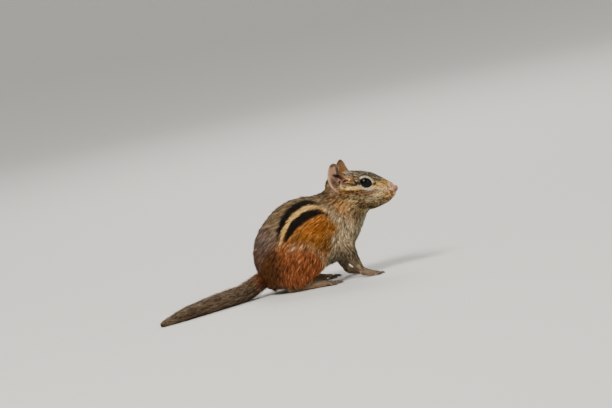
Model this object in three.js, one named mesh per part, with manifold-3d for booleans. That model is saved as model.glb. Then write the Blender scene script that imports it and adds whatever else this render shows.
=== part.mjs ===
// A life-size eastern chipmunk, resting on all fours with its back arched, its head raised and its tail
// laid out behind it. It is a still figure in separate closed pieces, which meet with a thin gap.
// Millimetres: +X towards the nose, +Y the animal's left, +Z up, origin on the floor under the middle.
import * as THREE from "three";
import { mergeVertices } from "three/addons/utils/BufferGeometryUtils.js";
import Module from "manifold-3d";

const wasm = await Module();
wasm.setup();

// Sizes that the rest follows from
const gap = 0.3; // between two pieces that touch
const headLength = 44.2; // nose tip to the back of the skull
const headPitch = THREE.MathUtils.degToRad(18); // nose down
const headYaw = THREE.MathUtils.degToRad(-14); // nose towards the animal's right
const headPlace = [28.4, 0, 52.6]; // where the head's own origin lies
const eyeRadius = 3.95;
const eyePlace = [11.3, 5.9, 6.25]; // in the head's own frame, mirrored for the other side
const eyeFacing = [0.3, 0.92, 0.2];
const eyeOpeningSize = [3.75, 2.85]; // half length and half height of the almond between the lids
const mouthGap = 0.6;
const mouthDepth = 1.1;
const earHeight = 16.6;
const earHalfWidth = 5.1;
const earBase = [-3.0, 9.5, 0.3]; // root of the ear in the head's own frame, left side
const earAxis = { right: [-0.33, 0.17, 0.93], left: [-0.4, 0.36, 0.84] }; // from root to tip
const earFacing = [0.5, 0.86, 0]; // the way that the cup opens
const earDepth = 4.2; // of the cup
const earWrap = [2.5, 1.15]; // curl of the leaf to each side, at the root and higher up, in radians
const earWaist = 0.72; // share of the full width that is left at the root
const earFlatten = 0.62; // share of the depth that is lost towards the tip
const earHalfThickness = [0.62, 0.38]; // at the root and at the rim

const fur = {
  back: new THREE.MeshStandardMaterial({ color: 0x6f5a49, roughness: 0.9 }),
  rust: new THREE.MeshStandardMaterial({ color: 0x9a5426, roughness: 0.9 }),
  face: new THREE.MeshStandardMaterial({ color: 0x8f7255, roughness: 0.9 }),
  chest: new THREE.MeshStandardMaterial({ color: 0x9b8a73, roughness: 0.9 }),
  tail: new THREE.MeshStandardMaterial({ color: 0x6b4f40, roughness: 0.95 }),
  feet: new THREE.MeshStandardMaterial({ color: 0xa88a78, roughness: 0.8 }),
  eye: new THREE.MeshStandardMaterial({ color: 0x0b0908, roughness: 0.08 }),
};

const vector = (p) => new THREE.Vector3(...p);
const worldSide = new THREE.Vector3(0, 1, 0);

// Smooth curve through rows of numbers: every column is interpolated alike, at a share t of the way.
function rowAt(rows, t) {
  const last = rows.length - 1;
  const i = Math.min(Math.floor(t * last), last - 1);
  const f = t * last - i;
  const row = (k) => rows[THREE.MathUtils.clamp(k, 0, last)];
  return rows[0].map((_, j) => {
    const [a, b, c, d] = [row(i - 1)[j], row(i)[j], row(i + 1)[j], row(i + 2)[j]];
    return b + 0.5 * f * (c - a + f * (2 * a - 5 * b + 4 * c - d + f * (3 * (b - c) + d - a)));
  });
}

// Closes a stack of rings of points, with one point at each end, into a skin that faces out.
function skinOf(rings, startTip, endTip) {
  const count = rings[0].length;
  const points = [startTip, ...rings.flat(), endTip];
  const faces = [];
  const at = (r, k) => 1 + r * count + (k % count);
  for (let k = 0; k < count; k++) {
    faces.push(0, at(0, k + 1), at(0, k));
    faces.push(points.length - 1, at(rings.length - 1, k), at(rings.length - 1, k + 1));
    for (let r = 0; r + 1 < rings.length; r++) {
      faces.push(at(r, k), at(r, k + 1), at(r + 1, k));
      faces.push(at(r, k + 1), at(r + 1, k + 1), at(r + 1, k));
    }
  }
  return facingOut(points, faces);
}

// Turns every face round where the volume that they close comes out negative.
function facingOut(points, faces) {
  let volume = 0;
  for (let i = 0; i < faces.length; i += 3) {
    const [a, b, c] = [points[faces[i]], points[faces[i + 1]], points[faces[i + 2]]];
    volume += a.dot(new THREE.Vector3().crossVectors(b, c));
  }
  if (volume < 0) faces.reverse();
  const geometry = new THREE.BufferGeometry().setFromPoints(points);
  geometry.setIndex(faces);
  return geometry;
}

// Moves every point of a skin out along its normal, or in where the distance is negative.
function offset(geometry, distance) {
  geometry.computeVertexNormals();
  const { position, normal } = geometry.attributes;
  const place = new THREE.Vector3();
  const out = new THREE.Vector3();
  for (let i = 0; i < position.count; i++) {
    place.fromBufferAttribute(position, i).addScaledVector(out.fromBufferAttribute(normal, i), distance);
    position.setXYZ(i, ...place);
  }
  return geometry;
}

// One ring: width to each side, top above and bottom below its centre. Roundness 2 is an ellipse.
function ringOf(centre, side, up, width, top, bottom, roundTop, roundBottom, sides) {
  const power = (v, e) => Math.sign(v) * Math.abs(v) ** (2 / e);
  return Array.from({ length: sides }, (_, k) => {
    const angle = (2 * Math.PI * (k + 0.5)) / sides;
    const [c, s] = [Math.cos(angle), Math.sin(angle)];
    const round = s > 0 ? roundTop : roundBottom;
    const height = (s > 0 ? top : bottom) * power(s, round);
    return centre
      .clone()
      .addScaledVector(side, width * power(c, round))
      .addScaledVector(up, height);
  });
}

function solidOf(geometry) {
  const bare = geometry.clone();
  bare.deleteAttribute("normal");
  bare.deleteAttribute("uv");
  const merged = mergeVertices(bare, 1e-4);
  const mesh = new wasm.Mesh({
    numProp: 3,
    vertProperties: new Float32Array(merged.attributes.position.array),
    triVerts: new Uint32Array(merged.index.array),
  });
  return new wasm.Manifold(mesh);
}

function geometryOf(solid) {
  const mesh = solid.getMesh();
  return new THREE.BufferGeometry()
    .setAttribute("position", new THREE.BufferAttribute(mesh.vertProperties, 3))
    .setIndex(new THREE.BufferAttribute(mesh.triVerts, 1));
}

const joined = (solids) => solids.reduce((whole, next) => whole.add(next));
const without = (solid, ...cutters) => cutters.reduce((left, cutter) => left.subtract(cutter), solid);

// The largest closed surface of a solid: loose scraps go, and a hollow that fusing seals is filled.
function largest(solid) {
  return solid.decompose().reduce((best, next) => (next.volume() > best.volume() ? next : best));
}

// A limb, toe, claw or lock: rows of x, y, z, half width and half depth along its middle line.
function limb(rows, steps, sides, grow = 0, sideHint = worldSide) {
  const middle = (t) => vector(rowAt(rows, THREE.MathUtils.clamp(t, 0, 1)).slice(0, 3));
  const rings = [];
  for (let i = 0; i <= steps; i++) {
    const t = i / steps;
    const row = rowAt(rows, t);
    const along = middle(t + 0.02).sub(middle(t - 0.02)).normalize();
    const side = sideHint.clone().addScaledVector(along, -along.dot(sideHint)).normalize();
    const up = new THREE.Vector3().crossVectors(side, along);
    rings.push(ringOf(middle(t), side, up, row[3], row[4], row[4], 2, 2, sides));
  }
  const [first, second, beforeLast, last] = [0, 0.05, 0.95, 1].map(middle);
  const beyond = (from, to, reach) => to.clone().addScaledVector(to.clone().sub(from).normalize(), reach);
  const startTip = beyond(second, first, rows[0][4] * 0.5);
  const endTip = beyond(beforeLast, last, rows.at(-1)[4] * 0.5);
  return solidOf(offset(skinOf(rings, startTip, endTip), grow));
}

const mirrored = (rows, hand) => rows.map(([x, y, ...rest]) => [x, y * hand, ...rest]);

function halfSpace(point, normal, shift = 0) {
  const size = 300;
  const box = new THREE.BoxGeometry(size, size, size);
  box.translate(0, 0, size / 2 + shift);
  box.applyQuaternion(new THREE.Quaternion().setFromUnitVectors(new THREE.Vector3(0, 0, 1), normal));
  return solidOf(box.translate(...point));
}

const belowFloor = halfSpace([0, 0, 0], new THREE.Vector3(0, 0, -1));

// Trunk: rows of back x, back z, belly x, belly z, half width, and the widest line (0 belly, 1 back)
const trunkRows = [
  [-35.0, 14.0, -31.5, 7.5, 5.0, 0.5],
  [-36.2, 20.5, -28.5, 2.6, 12.0, 0.45],
  [-35.4, 28.5, -20.0, 2.2, 17.0, 0.42],
  [-31.6, 37.0, -9.0, 4.4, 20.0, 0.42],
  [-25.2, 44.2, 1.0, 7.8, 21.3, 0.42],
  [-16.6, 50.6, 9.0, 10.0, 21.0, 0.42],
  [-7.2, 54.0, 17.0, 12.6, 19.2, 0.42],
  [1.5, 54.4, 24.0, 17.0, 17.2, 0.44],
  [7.5, 54.0, 29.6, 24.0, 15.2, 0.46],
  [12.5, 55.4, 34.4, 31.6, 13.4, 0.48],
  [17.0, 58.0, 38.6, 37.0, 12.0, 0.5],
  [21.5, 59.5, 41.0, 41.5, 10.0, 0.5],
];
const trunkRings = 26;
const trunkSides = 28;

function trunk(grow = 0) {
  const rings = [];
  for (let i = 0; i <= trunkRings; i++) {
    const [backX, backZ, bellyX, bellyZ, width, wide] = rowAt(trunkRows, i / trunkRings);
    const back = new THREE.Vector3(backX, 0, backZ);
    const belly = new THREE.Vector3(bellyX, 0, bellyZ);
    const tall = back.distanceTo(belly);
    const up = back.clone().sub(belly).normalize();
    const centre = belly.clone().lerp(back, wide);
    rings.push(ringOf(centre, worldSide, up, width, tall * (1 - wide), tall * wide, 2.1, 2.3, trunkSides));
  }
  const rump = new THREE.Vector3(-34.6, 0, 10.2);
  const front = new THREE.Vector3(33.5, 0, 52);
  return solidOf(offset(skinOf(rings, rump, front), grow));
}

// Head, in its own frame: rows of x, top, bottom, height of the widest line, half width, and roundness
// above and below that line
const headRows = [
  [-13.6, 3.6, -3.5, 0.3, 4.0, 2, 2],
  [-12.4, 5.8, -6.4, -0.4, 7.0, 2, 2],
  [-10.0, 8.0, -9.8, -1.6, 9.9, 2.1, 2.1],
  [-6.5, 9.8, -12.4, -2.8, 11.9, 2.2, 2.1],
  [-2.5, 11.0, -13.8, -3.8, 12.6, 2.2, 2.1],
  [1.5, 11.8, -14.2, -4.2, 12.5, 2.2, 2.1],
  [5.5, 12.4, -14.0, -4.2, 11.7, 2.2, 2.1],
  [9.0, 12.6, -13.2, -3.8, 10.5, 2.2, 2.1],
  [12.5, 12.4, -12.0, -2.8, 9.2, 2.2, 2.0],
  [16.0, 11.5, -10.4, -1.6, 7.8, 2.2, 2.0],
  [19.5, 10.2, -8.4, -0.4, 6.5, 2.1, 2.0],
  [22.5, 9.0, -6.4, 0.5, 5.4, 2.1, 2.0],
  [25.0, 8.0, -4.4, 1.5, 4.6, 2.1, 2.1],
  [27.4, 7.1, -1.8, 2.6, 3.6, 2.1, 2.2],
  [29.3, 6.1, 1.2, 3.7, 2.3, 2, 2],
];
const headRings = 28;
const headSides = 26;

// Swellings of the head, alike on both sides: place, reach along each axis and height
const headSwellings = [
  { at: [23.0, 4.2, 1.9], reach: [3.4, 2.6, 2.4], height: 0.95 }, // whisker pad
  { at: [13.0, 8.6, -4.4], reach: [4.5, 4.0, 3.4], height: 0.5 }, // cheek below the eye
  { at: [9.5, 5.6, 11.2], reach: [4.0, 2.6, 2.4], height: 0.5 }, // brow
  { at: [24.6, 1.6, -3.2], reach: [2.6, 2.4, 1.8], height: 0.5 }, // chin
];

// Line of the mouth seen from the side, x and height, and the swell of the lips along it
const mouthLine = [
  [30.8, 0.8],
  [27.5, 0.2],
  [24.5, -1.5],
  [21.0, -2.9],
  [17.5, -3.3],
  [15.0, -2.6],
];
const lipHeight = 0.4;
const lipReach = 1.1;

function mouthHeight(x) {
  const i = Math.max(1, mouthLine.findIndex(([at]) => at <= x));
  const [[x0, z0], [x1, z1]] = [mouthLine[i - 1], mouthLine[i]];
  return z0 + ((z1 - z0) * (x - x0)) / (x1 - x0);
}

function swellAt([x, y, z]) {
  let swell = 0;
  for (const { at, reach, height } of headSwellings) {
    const away = [x - at[0], Math.abs(y) - at[1], z - at[2]];
    const far = away.reduce((sum, distance, k) => sum + (distance / reach[k]) ** 2, 0);
    swell += height * Math.exp(-far);
  }
  if (x > mouthLine.at(-1)[0]) swell += lipHeight * Math.exp(-(((z - mouthHeight(x)) / lipReach) ** 2));
  return swell;
}

function headLoft(grow = 0) {
  const rings = [];
  for (let i = 0; i <= headRings; i++) {
    const [x, top, bottom, wide, width, roundTop, roundBottom] = rowAt(headRows, i / headRings);
    const centre = new THREE.Vector3(x, 0, wide);
    const up = new THREE.Vector3(0, 0, 1);
    const reach = [width, top - wide, wide - bottom];
    const ring = ringOf(centre, worldSide, up, ...reach, roundTop, roundBottom, headSides);
    rings.push(ring.map((p) => p.addScaledVector(p.clone().sub(centre).normalize(), swellAt(p.toArray()))));
  }
  const nape = new THREE.Vector3(headRows[0][0] - 0.8, 0, 0.8);
  const noseTip = new THREE.Vector3(headRows[0][0] + headLength, 0, 4.4);
  return offset(skinOf(rings, nape, noseTip), grow);
}

const headFrame = new THREE.Matrix4()
  .makeRotationZ(headYaw)
  .multiply(new THREE.Matrix4().makeRotationY(headPitch))
  .setPosition(...headPlace);

const inHead = (geometry) => solidOf(geometry.applyMatrix4(headFrame));

function ellipsoid(place, radii, turn = [0, 0, 0], detail = 2) {
  const ball = new THREE.IcosahedronGeometry(1, detail);
  ball.scale(...radii);
  ball.applyMatrix4(new THREE.Matrix4().makeRotationFromEuler(new THREE.Euler(...turn)));
  return ball.translate(...place);
}

const handed = ([x, y, z], hand) => [x, y * hand, z];

// Slab that follows the line of the mouth, right through the muzzle
function mouthSlab() {
  const shape = new THREE.Shape();
  mouthLine.forEach(([x, z], i) => shape[i ? "lineTo" : "moveTo"](x, z + mouthGap / 2));
  [...mouthLine].reverse().forEach(([x, z]) => shape.lineTo(x, z - mouthGap / 2));
  const reach = 30;
  const slab = new THREE.ExtrudeGeometry(shape, { depth: reach, bevelEnabled: false, steps: 1 });
  slab.translate(0, 0, -reach / 2);
  return slab.rotateX(Math.PI / 2);
}

// Axes of one eye: along the almond, up, and the way that the eye faces
function eyeAxes(hand) {
  const facing = vector(handed(eyeFacing, hand)).normalize();
  const along = new THREE.Vector3(1, 0, -0.14);
  along.addScaledVector(facing, -facing.dot(along)).normalize();
  return [along, new THREE.Vector3().crossVectors(facing, along), facing];
}

function eyeOpening(hand) {
  const [long, high] = eyeOpeningSize;
  const outline = new THREE.Shape();
  const sides = 16;
  for (let k = 0; k < sides; k++) {
    const a = (2 * Math.PI * k) / sides;
    const y = high * Math.sin(a) * Math.abs(Math.sin(a)) ** 0.25;
    outline[k ? "lineTo" : "moveTo"](long * Math.cos(a), y);
  }
  const prism = new THREE.ExtrudeGeometry(outline, { depth: 9, bevelEnabled: false, steps: 1 });
  prism.applyMatrix4(new THREE.Matrix4().makeBasis(...eyeAxes(hand)));
  return prism.translate(...handed(eyePlace, hand));
}

// Mound of the lids: distance out from the eye's middle line, and height above the eyeball's centre
const lidSteps = [
  [1.9, 4.15],
  [2.85, 3.6],
  [3.75, 2.65],
  [4.4, 1.6],
  [4.8, 0.5],
  [4.9, -0.8],
];

function lidMound(hand) {
  const [along, up, facing] = eyeAxes(hand);
  const centre = vector(handed(eyePlace, hand));
  const rings = lidSteps.map(([out, high]) =>
    ringOf(centre.clone().addScaledVector(facing, high), along, up, out * 1.04, out, out, 2, 2, 18),
  );
  const [top, foot] = [4.5, -2.5].map((high) => centre.clone().addScaledVector(facing, high));
  return skinOf(rings, top, foot);
}

function ballAt(hand, radius, detail) {
  return ellipsoid(handed(eyePlace, hand), [radius, radius, radius], [0, 0, 0], detail);
}

// Hollow of the ear and nostril, in the head's own frame, left side: place, radii and turn
const earHollow = { place: [-3.9, 11.2, 4.8], radii: [2.3, 2.6, 4.0], turn: [0, -0.3, 0] };
const nostril = { place: [29.4, 1.4, 3.9], radii: [1.5, 0.5, 0.8], turn: [0.5, 0.2, 0.5] };

function makeHead() {
  const nosePad = inHead(ellipsoid([28.7, 0, 4.5], [1.9, 2.4, 2.0]));
  const lids = [1, -1].map((hand) => inHead(lidMound(hand)));
  const cuts = [inHead(mouthSlab()).subtract(inHead(headLoft(-mouthDepth)))];
  for (const hand of [1, -1]) {
    cuts.push(inHead(ballAt(hand, eyeRadius + gap, 2)));
    cuts.push(inHead(eyeOpening(hand)));
    for (const { place, radii, turn } of [earHollow, nostril]) {
      const [aboutX, aboutY, aboutZ] = turn;
      cuts.push(inHead(ellipsoid(handed(place, hand), radii, [aboutX * hand, aboutY, aboutZ * hand], 1)));
    }
  }
  return largest(without(joined([inHead(headLoft()), nosePad, ...lids]), ...cuts));
}

const makeEye = (hand) => inHead(ballAt(hand, eyeRadius, 3));

// Ear, in the head's own frame: a leaf curled into a cup, open to the side and front
function makeEar(name, hand) {
  const base = vector(earBase);
  const axis = vector(earAxis[name]).normalize();
  const facing = vector(earFacing).normalize();
  facing.addScaledVector(axis, -axis.dot(facing)).normalize();
  const across = new THREE.Vector3().crossVectors(axis, facing);
  const [upSteps, acrossSteps] = [8, 12];
  const middle = (u, v) => {
    const wrap = THREE.MathUtils.lerp(...earWrap, Math.min(1, u * 1.5));
    const angle = v * wrap;
    const waist = THREE.MathUtils.lerp(earWaist, 1, Math.min(1, u * 2.2));
    const outline = Math.sqrt(Math.max(0, 1 - u ** 3)) * waist;
    const wide = (earHalfWidth * outline * Math.sin(angle)) / Math.sin(Math.min(wrap, Math.PI / 2));
    const deep = earDepth * (1 - earFlatten * u) * (0.35 + 0.65 * outline) * Math.cos(angle);
    return base
      .clone()
      .addScaledVector(axis, earHeight * u)
      .addScaledVector(across, wide)
      .addScaledVector(facing, -deep);
  };
  const faces = { outer: [], inner: [] };
  for (let i = 0; i <= upSteps; i++) {
    for (let j = 0; j <= acrossSteps; j++) {
      const u = 0.997 * (1 - (1 - i / upSteps) ** 1.5);
      const v = (2 * j) / acrossSteps - 1;
      const [e, f] = [0.01, 0.02];
      const alongU = middle(u + e, v).sub(middle(u - e, v));
      const alongV = middle(u, v + f).sub(middle(u, v - f));
      const normal = new THREE.Vector3().crossVectors(alongU, alongV).normalize();
      const half = THREE.MathUtils.lerp(...earHalfThickness, u);
      faces.outer.push(middle(u, v).addScaledVector(normal, half));
      faces.inner.push(middle(u, v).addScaledVector(normal, -half));
    }
  }
  const points = [...faces.outer, ...faces.inner].map((p) => vector(handed(p.toArray(), hand)));
  const row = acrossSteps + 1;
  const layer = faces.outer.length;
  const index = [];
  const quad = (a, b, c, d) => index.push(a, b, c, a, c, d);
  for (let i = 0; i < upSteps; i++) {
    for (let j = 0; j < acrossSteps; j++) {
      const [a, b, c, d] = [i * row + j, i * row + j + 1, (i + 1) * row + j + 1, (i + 1) * row + j];
      quad(a, b, c, d);
      quad(d + layer, c + layer, b + layer, a + layer);
    }
    const [left, right] = [i * row, i * row + acrossSteps];
    quad(left + layer, left, left + row, left + row + layer);
    quad(right, right + layer, right + row + layer, right + row);
  }
  for (let j = 0; j < acrossSteps; j++) {
    const top = upSteps * row + j;
    quad(j + layer, j + 1 + layer, j + 1, j);
    quad(top, top + 1, top + 1 + layer, top + layer);
  }
  return inHead(facingOut(points, index));
}

// Hind leg, folded: the thigh and shank are one mass under the coat
const thighRows = [
  [-29.0, 10.0, 14.0, 2.5, 4.0],
  [-25.6, 12.4, 15.8, 6.8, 12.0],
  [-18.0, 14.0, 18.2, 9.4, 16.2],
  [-9.0, 15.2, 18.6, 9.2, 16.0],
  [-1.4, 16.2, 17.0, 7.8, 12.4],
  [4.2, 16.6, 14.8, 5.2, 8.2],
  [7.0, 16.6, 13.2, 2.2, 3.6],
];

const thigh = (hand, grow = 0) => limb(mirrored(thighRows, hand), 14, 20, grow);

const hindFootRows = [
  [-20.8, 11.0, 3.0, 1.6, 1.6],
  [-19.2, 11.2, 3.4, 3.0, 3.5],
  [-11.4, 12.6, 3.0, 3.0, 3.3],
  [-3.4, 14.2, 2.5, 3.1, 2.8],
  [1.6, 15.4, 2.0, 3.6, 2.3],
  [4.2, 15.8, 1.7, 3.3, 1.9],
  [5.4, 16.0, 1.5, 1.8, 1.1],
];

// A toe with its knuckle raised, and the claw at its end; it points along turn, seen from above
function toe([x, y, z], length, thick, turn, hand) {
  const [c, s] = [Math.cos(turn), Math.sin(turn)];
  const place = (d, height) => [x + d * c, (y + d * s) * hand, height];
  const row = (share, height, size) => [...place(length * share, height), thick * size, thick * size];
  const digit = limb(
    [
      row(-0.25, z, 0.9),
      row(0.1, z + 0.5, 1.05),
      row(0.42, z + 0.75, 1.0),
      row(0.72, z * 0.75, 0.92),
      row(0.98, thick * 0.8, 0.85),
    ],
    4,
    6,
  );
  const clawLength = length * 0.36;
  const claw = (d, height, size) => [...place(length + d * clawLength, height), size, size * 1.3];
  const nail = limb(
    [
      claw(-0.5, thick * 1.0, 0.4),
      claw(0.1, thick * 1.25, 0.45),
      claw(0.55, thick * 0.95, 0.33),
      claw(1.0, 0.35, 0.12),
    ],
    2,
    4,
  );
  return joined([digit, nail]);
}

function makeHindFoot(hand, cutters) {
  const turns = [-0.2, -0.06, 0.06, 0.18, 0.34];
  const lengths = [6.2, 7.4, 7.8, 7.2, 5.6];
  const roots = [-2.5, -1.35, 0, 1.4, 2.55];
  const toes = turns.map((turn, k) => {
    const root = [3.6 - Math.abs(k - 2) * 0.5, 15.7 + roots[k], 1.5];
    return toe(root, lengths[k], 0.92, turn, hand);
  });
  const sole = limb(mirrored(hindFootRows, hand), 9, 12);
  return largest(without(joined([sole, ...toes]), ...cutters, belowFloor));
}

// Forelegs: the right one stands forward, the left one a step behind
const forelegRows = {
  right: [
    [12.0, 9.6, 38.0, 3.0, 4.5],
    [15.2, 11.2, 30.0, 5.6, 8.4],
    [18.6, 12.2, 21.0, 5.4, 7.4],
    [21.8, 12.4, 14.0, 4.2, 5.0],
    [24.3, 12.2, 8.6, 3.1, 3.4],
    [26.4, 12.0, 4.4, 2.5, 2.6],
  ],
  left: [
    [12.0, 9.6, 38.0, 3.0, 4.5],
    [13.6, 11.2, 30.0, 5.6, 8.0],
    [14.6, 12.2, 21.0, 5.4, 7.0],
    [15.4, 12.4, 14.0, 4.2, 4.8],
    [16.6, 12.2, 8.6, 3.1, 3.4],
    [18.2, 12.0, 4.4, 2.5, 2.6],
  ],
};

const foreleg = (name, hand, grow = 0) => limb(mirrored(forelegRows[name], hand), 12, 16, grow);

function makeForepaw(name, hand, cutters) {
  const [wristX, wristY] = forelegRows[name][5];
  const palm = limb(
    mirrored(
      [
        [wristX - 0.8, wristY, 4.8, 1.6, 1.6],
        [wristX + 0.6, wristY, 3.8, 2.3, 2.4],
        [wristX + 2.6, wristY + 0.2, 2.6, 2.7, 2.4],
        [wristX + 5.0, wristY + 0.4, 1.9, 3.1, 2.1],
        [wristX + 6.8, wristY + 0.5, 1.5, 2.6, 1.5],
        [wristX + 7.6, wristY + 0.5, 1.4, 1.4, 0.8],
      ],
      hand,
    ),
    7,
    10,
  );
  const spread = [-0.24, -0.05, 0.12, 0.34];
  const lengths = [4.2, 5.2, 5.2, 4.2];
  const toes = spread.map((turn, k) => {
    const [offX, offY] = [6.2 - Math.abs(k - 1.5) * 0.5, 0.5 + (k - 1.5) * 1.5];
    return toe([wristX + offX, wristY + offY, 1.35], lengths[k], 0.8, turn, hand);
  });
  return largest(without(joined([palm, ...toes]), ...cutters, belowFloor));
}

// Tail: rows of x, y, z, half width and half height out to the tips of the hair
const tailRows = [
  [-30.0, 0.0, 12.0, 5.2, 5.2],
  [-36.5, -2.0, 8.4, 5.8, 5.2],
  [-44.5, -6.0, 5.4, 6.6, 5.1],
  [-54.5, -12.0, 4.5, 7.2, 4.7],
  [-65.5, -19.6, 4.1, 7.1, 4.3],
  [-76.5, -27.8, 3.5, 6.3, 3.7],
  [-86.8, -35.8, 2.5, 4.6, 2.7],
  [-95.6, -43.0, 1.4, 1.6, 1.3],
];

const tailPlace = (t) => vector(rowAt(tailRows, THREE.MathUtils.clamp(t, 0, 1)).slice(0, 3));

// Locks of the tail: rows along it and locks round it, with the sizes of one lock
const lockRows = 8;
const locksAround = 5;
const lockSteps = 4;
const lockHalfWidth = 2.7;
const lockHalfThickness = 0.62;
const lockTaper = [0.7, 1, 0.92, 0.6]; // share of the full width from the root on
const coreShare = 0.45; // of the way to the tips of the hair

// A flat tapered lock of hair: it leaves the core at share t of the tail's length, at an angle round it
function tailLock(t, angle, reach, spread) {
  const rings = [];
  const tip = Math.min(t + reach, 1);
  let end;
  for (let i = 0; i <= lockSteps; i++) {
    const share = i / lockSteps;
    const s = THREE.MathUtils.lerp(t, tip, share);
    const [, , , wide, high] = rowAt(tailRows, s);
    const along = tailPlace(s + 0.02).sub(tailPlace(s - 0.02)).normalize();
    const side = worldSide.clone().addScaledVector(along, -along.dot(worldSide)).normalize();
    const up = new THREE.Vector3().crossVectors(side, along);
    const bend = angle + spread * share;
    const out = 0.14 + 0.86 * Math.sin((share * Math.PI) / 2) ** 0.9;
    const outward = side.clone().multiplyScalar(Math.cos(bend)).addScaledVector(up, Math.sin(bend));
    end = tailPlace(s);
    end.addScaledVector(side, Math.cos(bend) * wide * out);
    end.addScaledVector(up, Math.sin(bend) * high * out);
    if (i === lockSteps) break;
    const round = new THREE.Vector3().crossVectors(along, outward);
    const thick = lockHalfThickness * (0.5 + 0.5 * lockTaper[i]);
    rings.push(ringOf(end, round, outward, lockHalfWidth * lockTaper[i], thick, thick, 2, 2, 4));
  }
  return solidOf(skinOf(rings, tailPlace(t - 0.02), end));
}

function makeTail(cutters) {
  const core = ([x, y, z, wide, high]) => [x, y, z, wide * coreShare, high * coreShare];
  const coreRows = tailRows.slice(0, -1).map(core);
  const locks = [];
  for (let i = 0; i < lockRows; i++) {
    for (let k = 0; k < locksAround; k++) {
      const stray = i * locksAround + k; // sets each lock's own small differences
      const t = 0.1 + (0.8 * (i + (k % 2) * 0.5)) / lockRows;
      const angle = (2 * Math.PI * (k + 0.5 * (i % 2))) / locksAround + 0.25 * Math.sin(7.3 * stray);
      locks.push(tailLock(t, angle, 0.21 + 0.03 * Math.sin(3.7 * stray), 0.12 * Math.sin(5.1 * stray)));
    }
  }
  return largest(without(joined([limb(coreRows, 14, 10), ...locks]), ...cutters, belowFloor));
}

function mesh(name, solid, material) {
  const made = new THREE.Mesh(geometryOf(solid), material);
  made.name = name;
  return made;
}

const hands = { right: -1, left: 1 };
const animal = new THREE.Group();

const trunkSolid = trunk();
const trunkCutter = trunk(gap);
const headCutter = inHead(headLoft(gap));
const head = makeHead();

const shoulderLine = { point: [17, 0, 38], normal: new THREE.Vector3(0.82, 0, 0.57).normalize() };
const ahead = halfSpace(shoulderLine.point, shoulderLine.normal);
const aheadWithGap = halfSpace(shoulderLine.point, shoulderLine.normal, gap);

const neck = largest(trunkSolid.intersect(aheadWithGap).subtract(headCutter));
const torso = largest(trunkSolid.subtract(ahead));

animal.add(mesh("torso", torso, fur.back));
animal.add(mesh("neck", neck, fur.chest));
animal.add(mesh("head", head, fur.face));
const feetCutters = [];
for (const [name, hand] of Object.entries(hands)) {
  animal.add(mesh(`eye_${name}`, makeEye(hand), fur.eye));
  animal.add(mesh(`ear_${name}`, largest(without(makeEar(name, hand), headCutter, trunkCutter)), fur.face));
  const thighCutter = thigh(hand, gap);
  animal.add(mesh(`hind_leg_${name}`, largest(without(thigh(hand), trunkCutter, belowFloor)), fur.rust));
  animal.add(mesh(`hind_foot_${name}`, makeHindFoot(hand, [trunkCutter, thighCutter]), fur.feet));
  const legCutter = foreleg(name, hand, gap);
  animal.add(mesh(`foreleg_${name}`, largest(without(foreleg(name, hand), trunkCutter)), fur.chest));
  animal.add(mesh(`forepaw_${name}`, makeForepaw(name, hand, [legCutter, trunkCutter]), fur.feet));
  feetCutters.push(thighCutter);
}
animal.add(mesh("tail", makeTail([trunkCutter, ...feetCutters]), fur.tail));

// The origin goes under the middle of the whole figure.
const box = new THREE.Box3().setFromObject(animal);
const centre = box.getCenter(new THREE.Vector3());
animal.position.set(-centre.x, -centre.y, -box.min.z);

export default animal;
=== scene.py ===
import math
import bpy
import numpy as np
from mathutils import Matrix, Vector
from mathutils.bvhtree import BVHTree
from mathutils.kdtree import KDTree


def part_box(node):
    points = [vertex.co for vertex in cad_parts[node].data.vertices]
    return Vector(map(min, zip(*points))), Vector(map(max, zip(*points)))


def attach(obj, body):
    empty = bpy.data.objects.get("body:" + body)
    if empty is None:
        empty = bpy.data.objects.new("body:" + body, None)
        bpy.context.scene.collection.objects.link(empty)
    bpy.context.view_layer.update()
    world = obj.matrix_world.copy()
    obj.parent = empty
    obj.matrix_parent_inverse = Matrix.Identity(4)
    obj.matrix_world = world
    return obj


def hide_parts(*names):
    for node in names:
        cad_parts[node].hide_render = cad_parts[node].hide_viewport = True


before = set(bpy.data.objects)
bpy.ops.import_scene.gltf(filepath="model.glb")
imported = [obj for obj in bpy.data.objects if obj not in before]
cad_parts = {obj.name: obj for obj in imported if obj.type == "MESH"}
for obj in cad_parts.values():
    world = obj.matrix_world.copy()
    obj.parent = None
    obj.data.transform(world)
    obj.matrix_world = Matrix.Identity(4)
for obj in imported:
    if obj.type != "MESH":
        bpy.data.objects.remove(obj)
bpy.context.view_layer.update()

rng = np.random.default_rng(11)
sides = {"right": -1, "left": 1}

# Everything below is worked out in millimetres in the animal's own drawing frame, where the trunk
# stands over x = 0 and the floor is z = 0. The model's frame is that one moved along the floor.
headForm = {"place": (28.4, 0, 52.6), "pitch": math.radians(18), "yaw": math.radians(-14)}
eyeForm = {"radius": 3.95, "place": (11.3, 5.9, 6.25), "facing": (0.3, 0.92, 0.2), "opening": (3.85, 2.65)}

headTurn = np.array(Matrix.Rotation(headForm["yaw"], 3, "Z") @ Matrix.Rotation(headForm["pitch"], 3, "Y"))
headOrigin = np.array(headForm["place"], float)


def unit(v):
    return v / np.maximum(np.linalg.norm(v, axis=-1, keepdims=True), 1e-9)


def fromHead(p):
    return np.asarray(p, float) @ headTurn.T + headOrigin


def toHead(p):
    return (np.asarray(p, float) - headOrigin) @ headTurn


def handed(p, hand):
    return np.array([p[0], p[1] * hand, p[2]], float)


eyeLow, eyeHigh = (np.array(corner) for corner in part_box("eye_right"))
moved = (eyeLow + eyeHigh) / 2 * 1000 - fromHead(handed(eyeForm["place"], -1))


def toModel(p):
    return (np.asarray(p, float) + moved) / 1000


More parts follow.
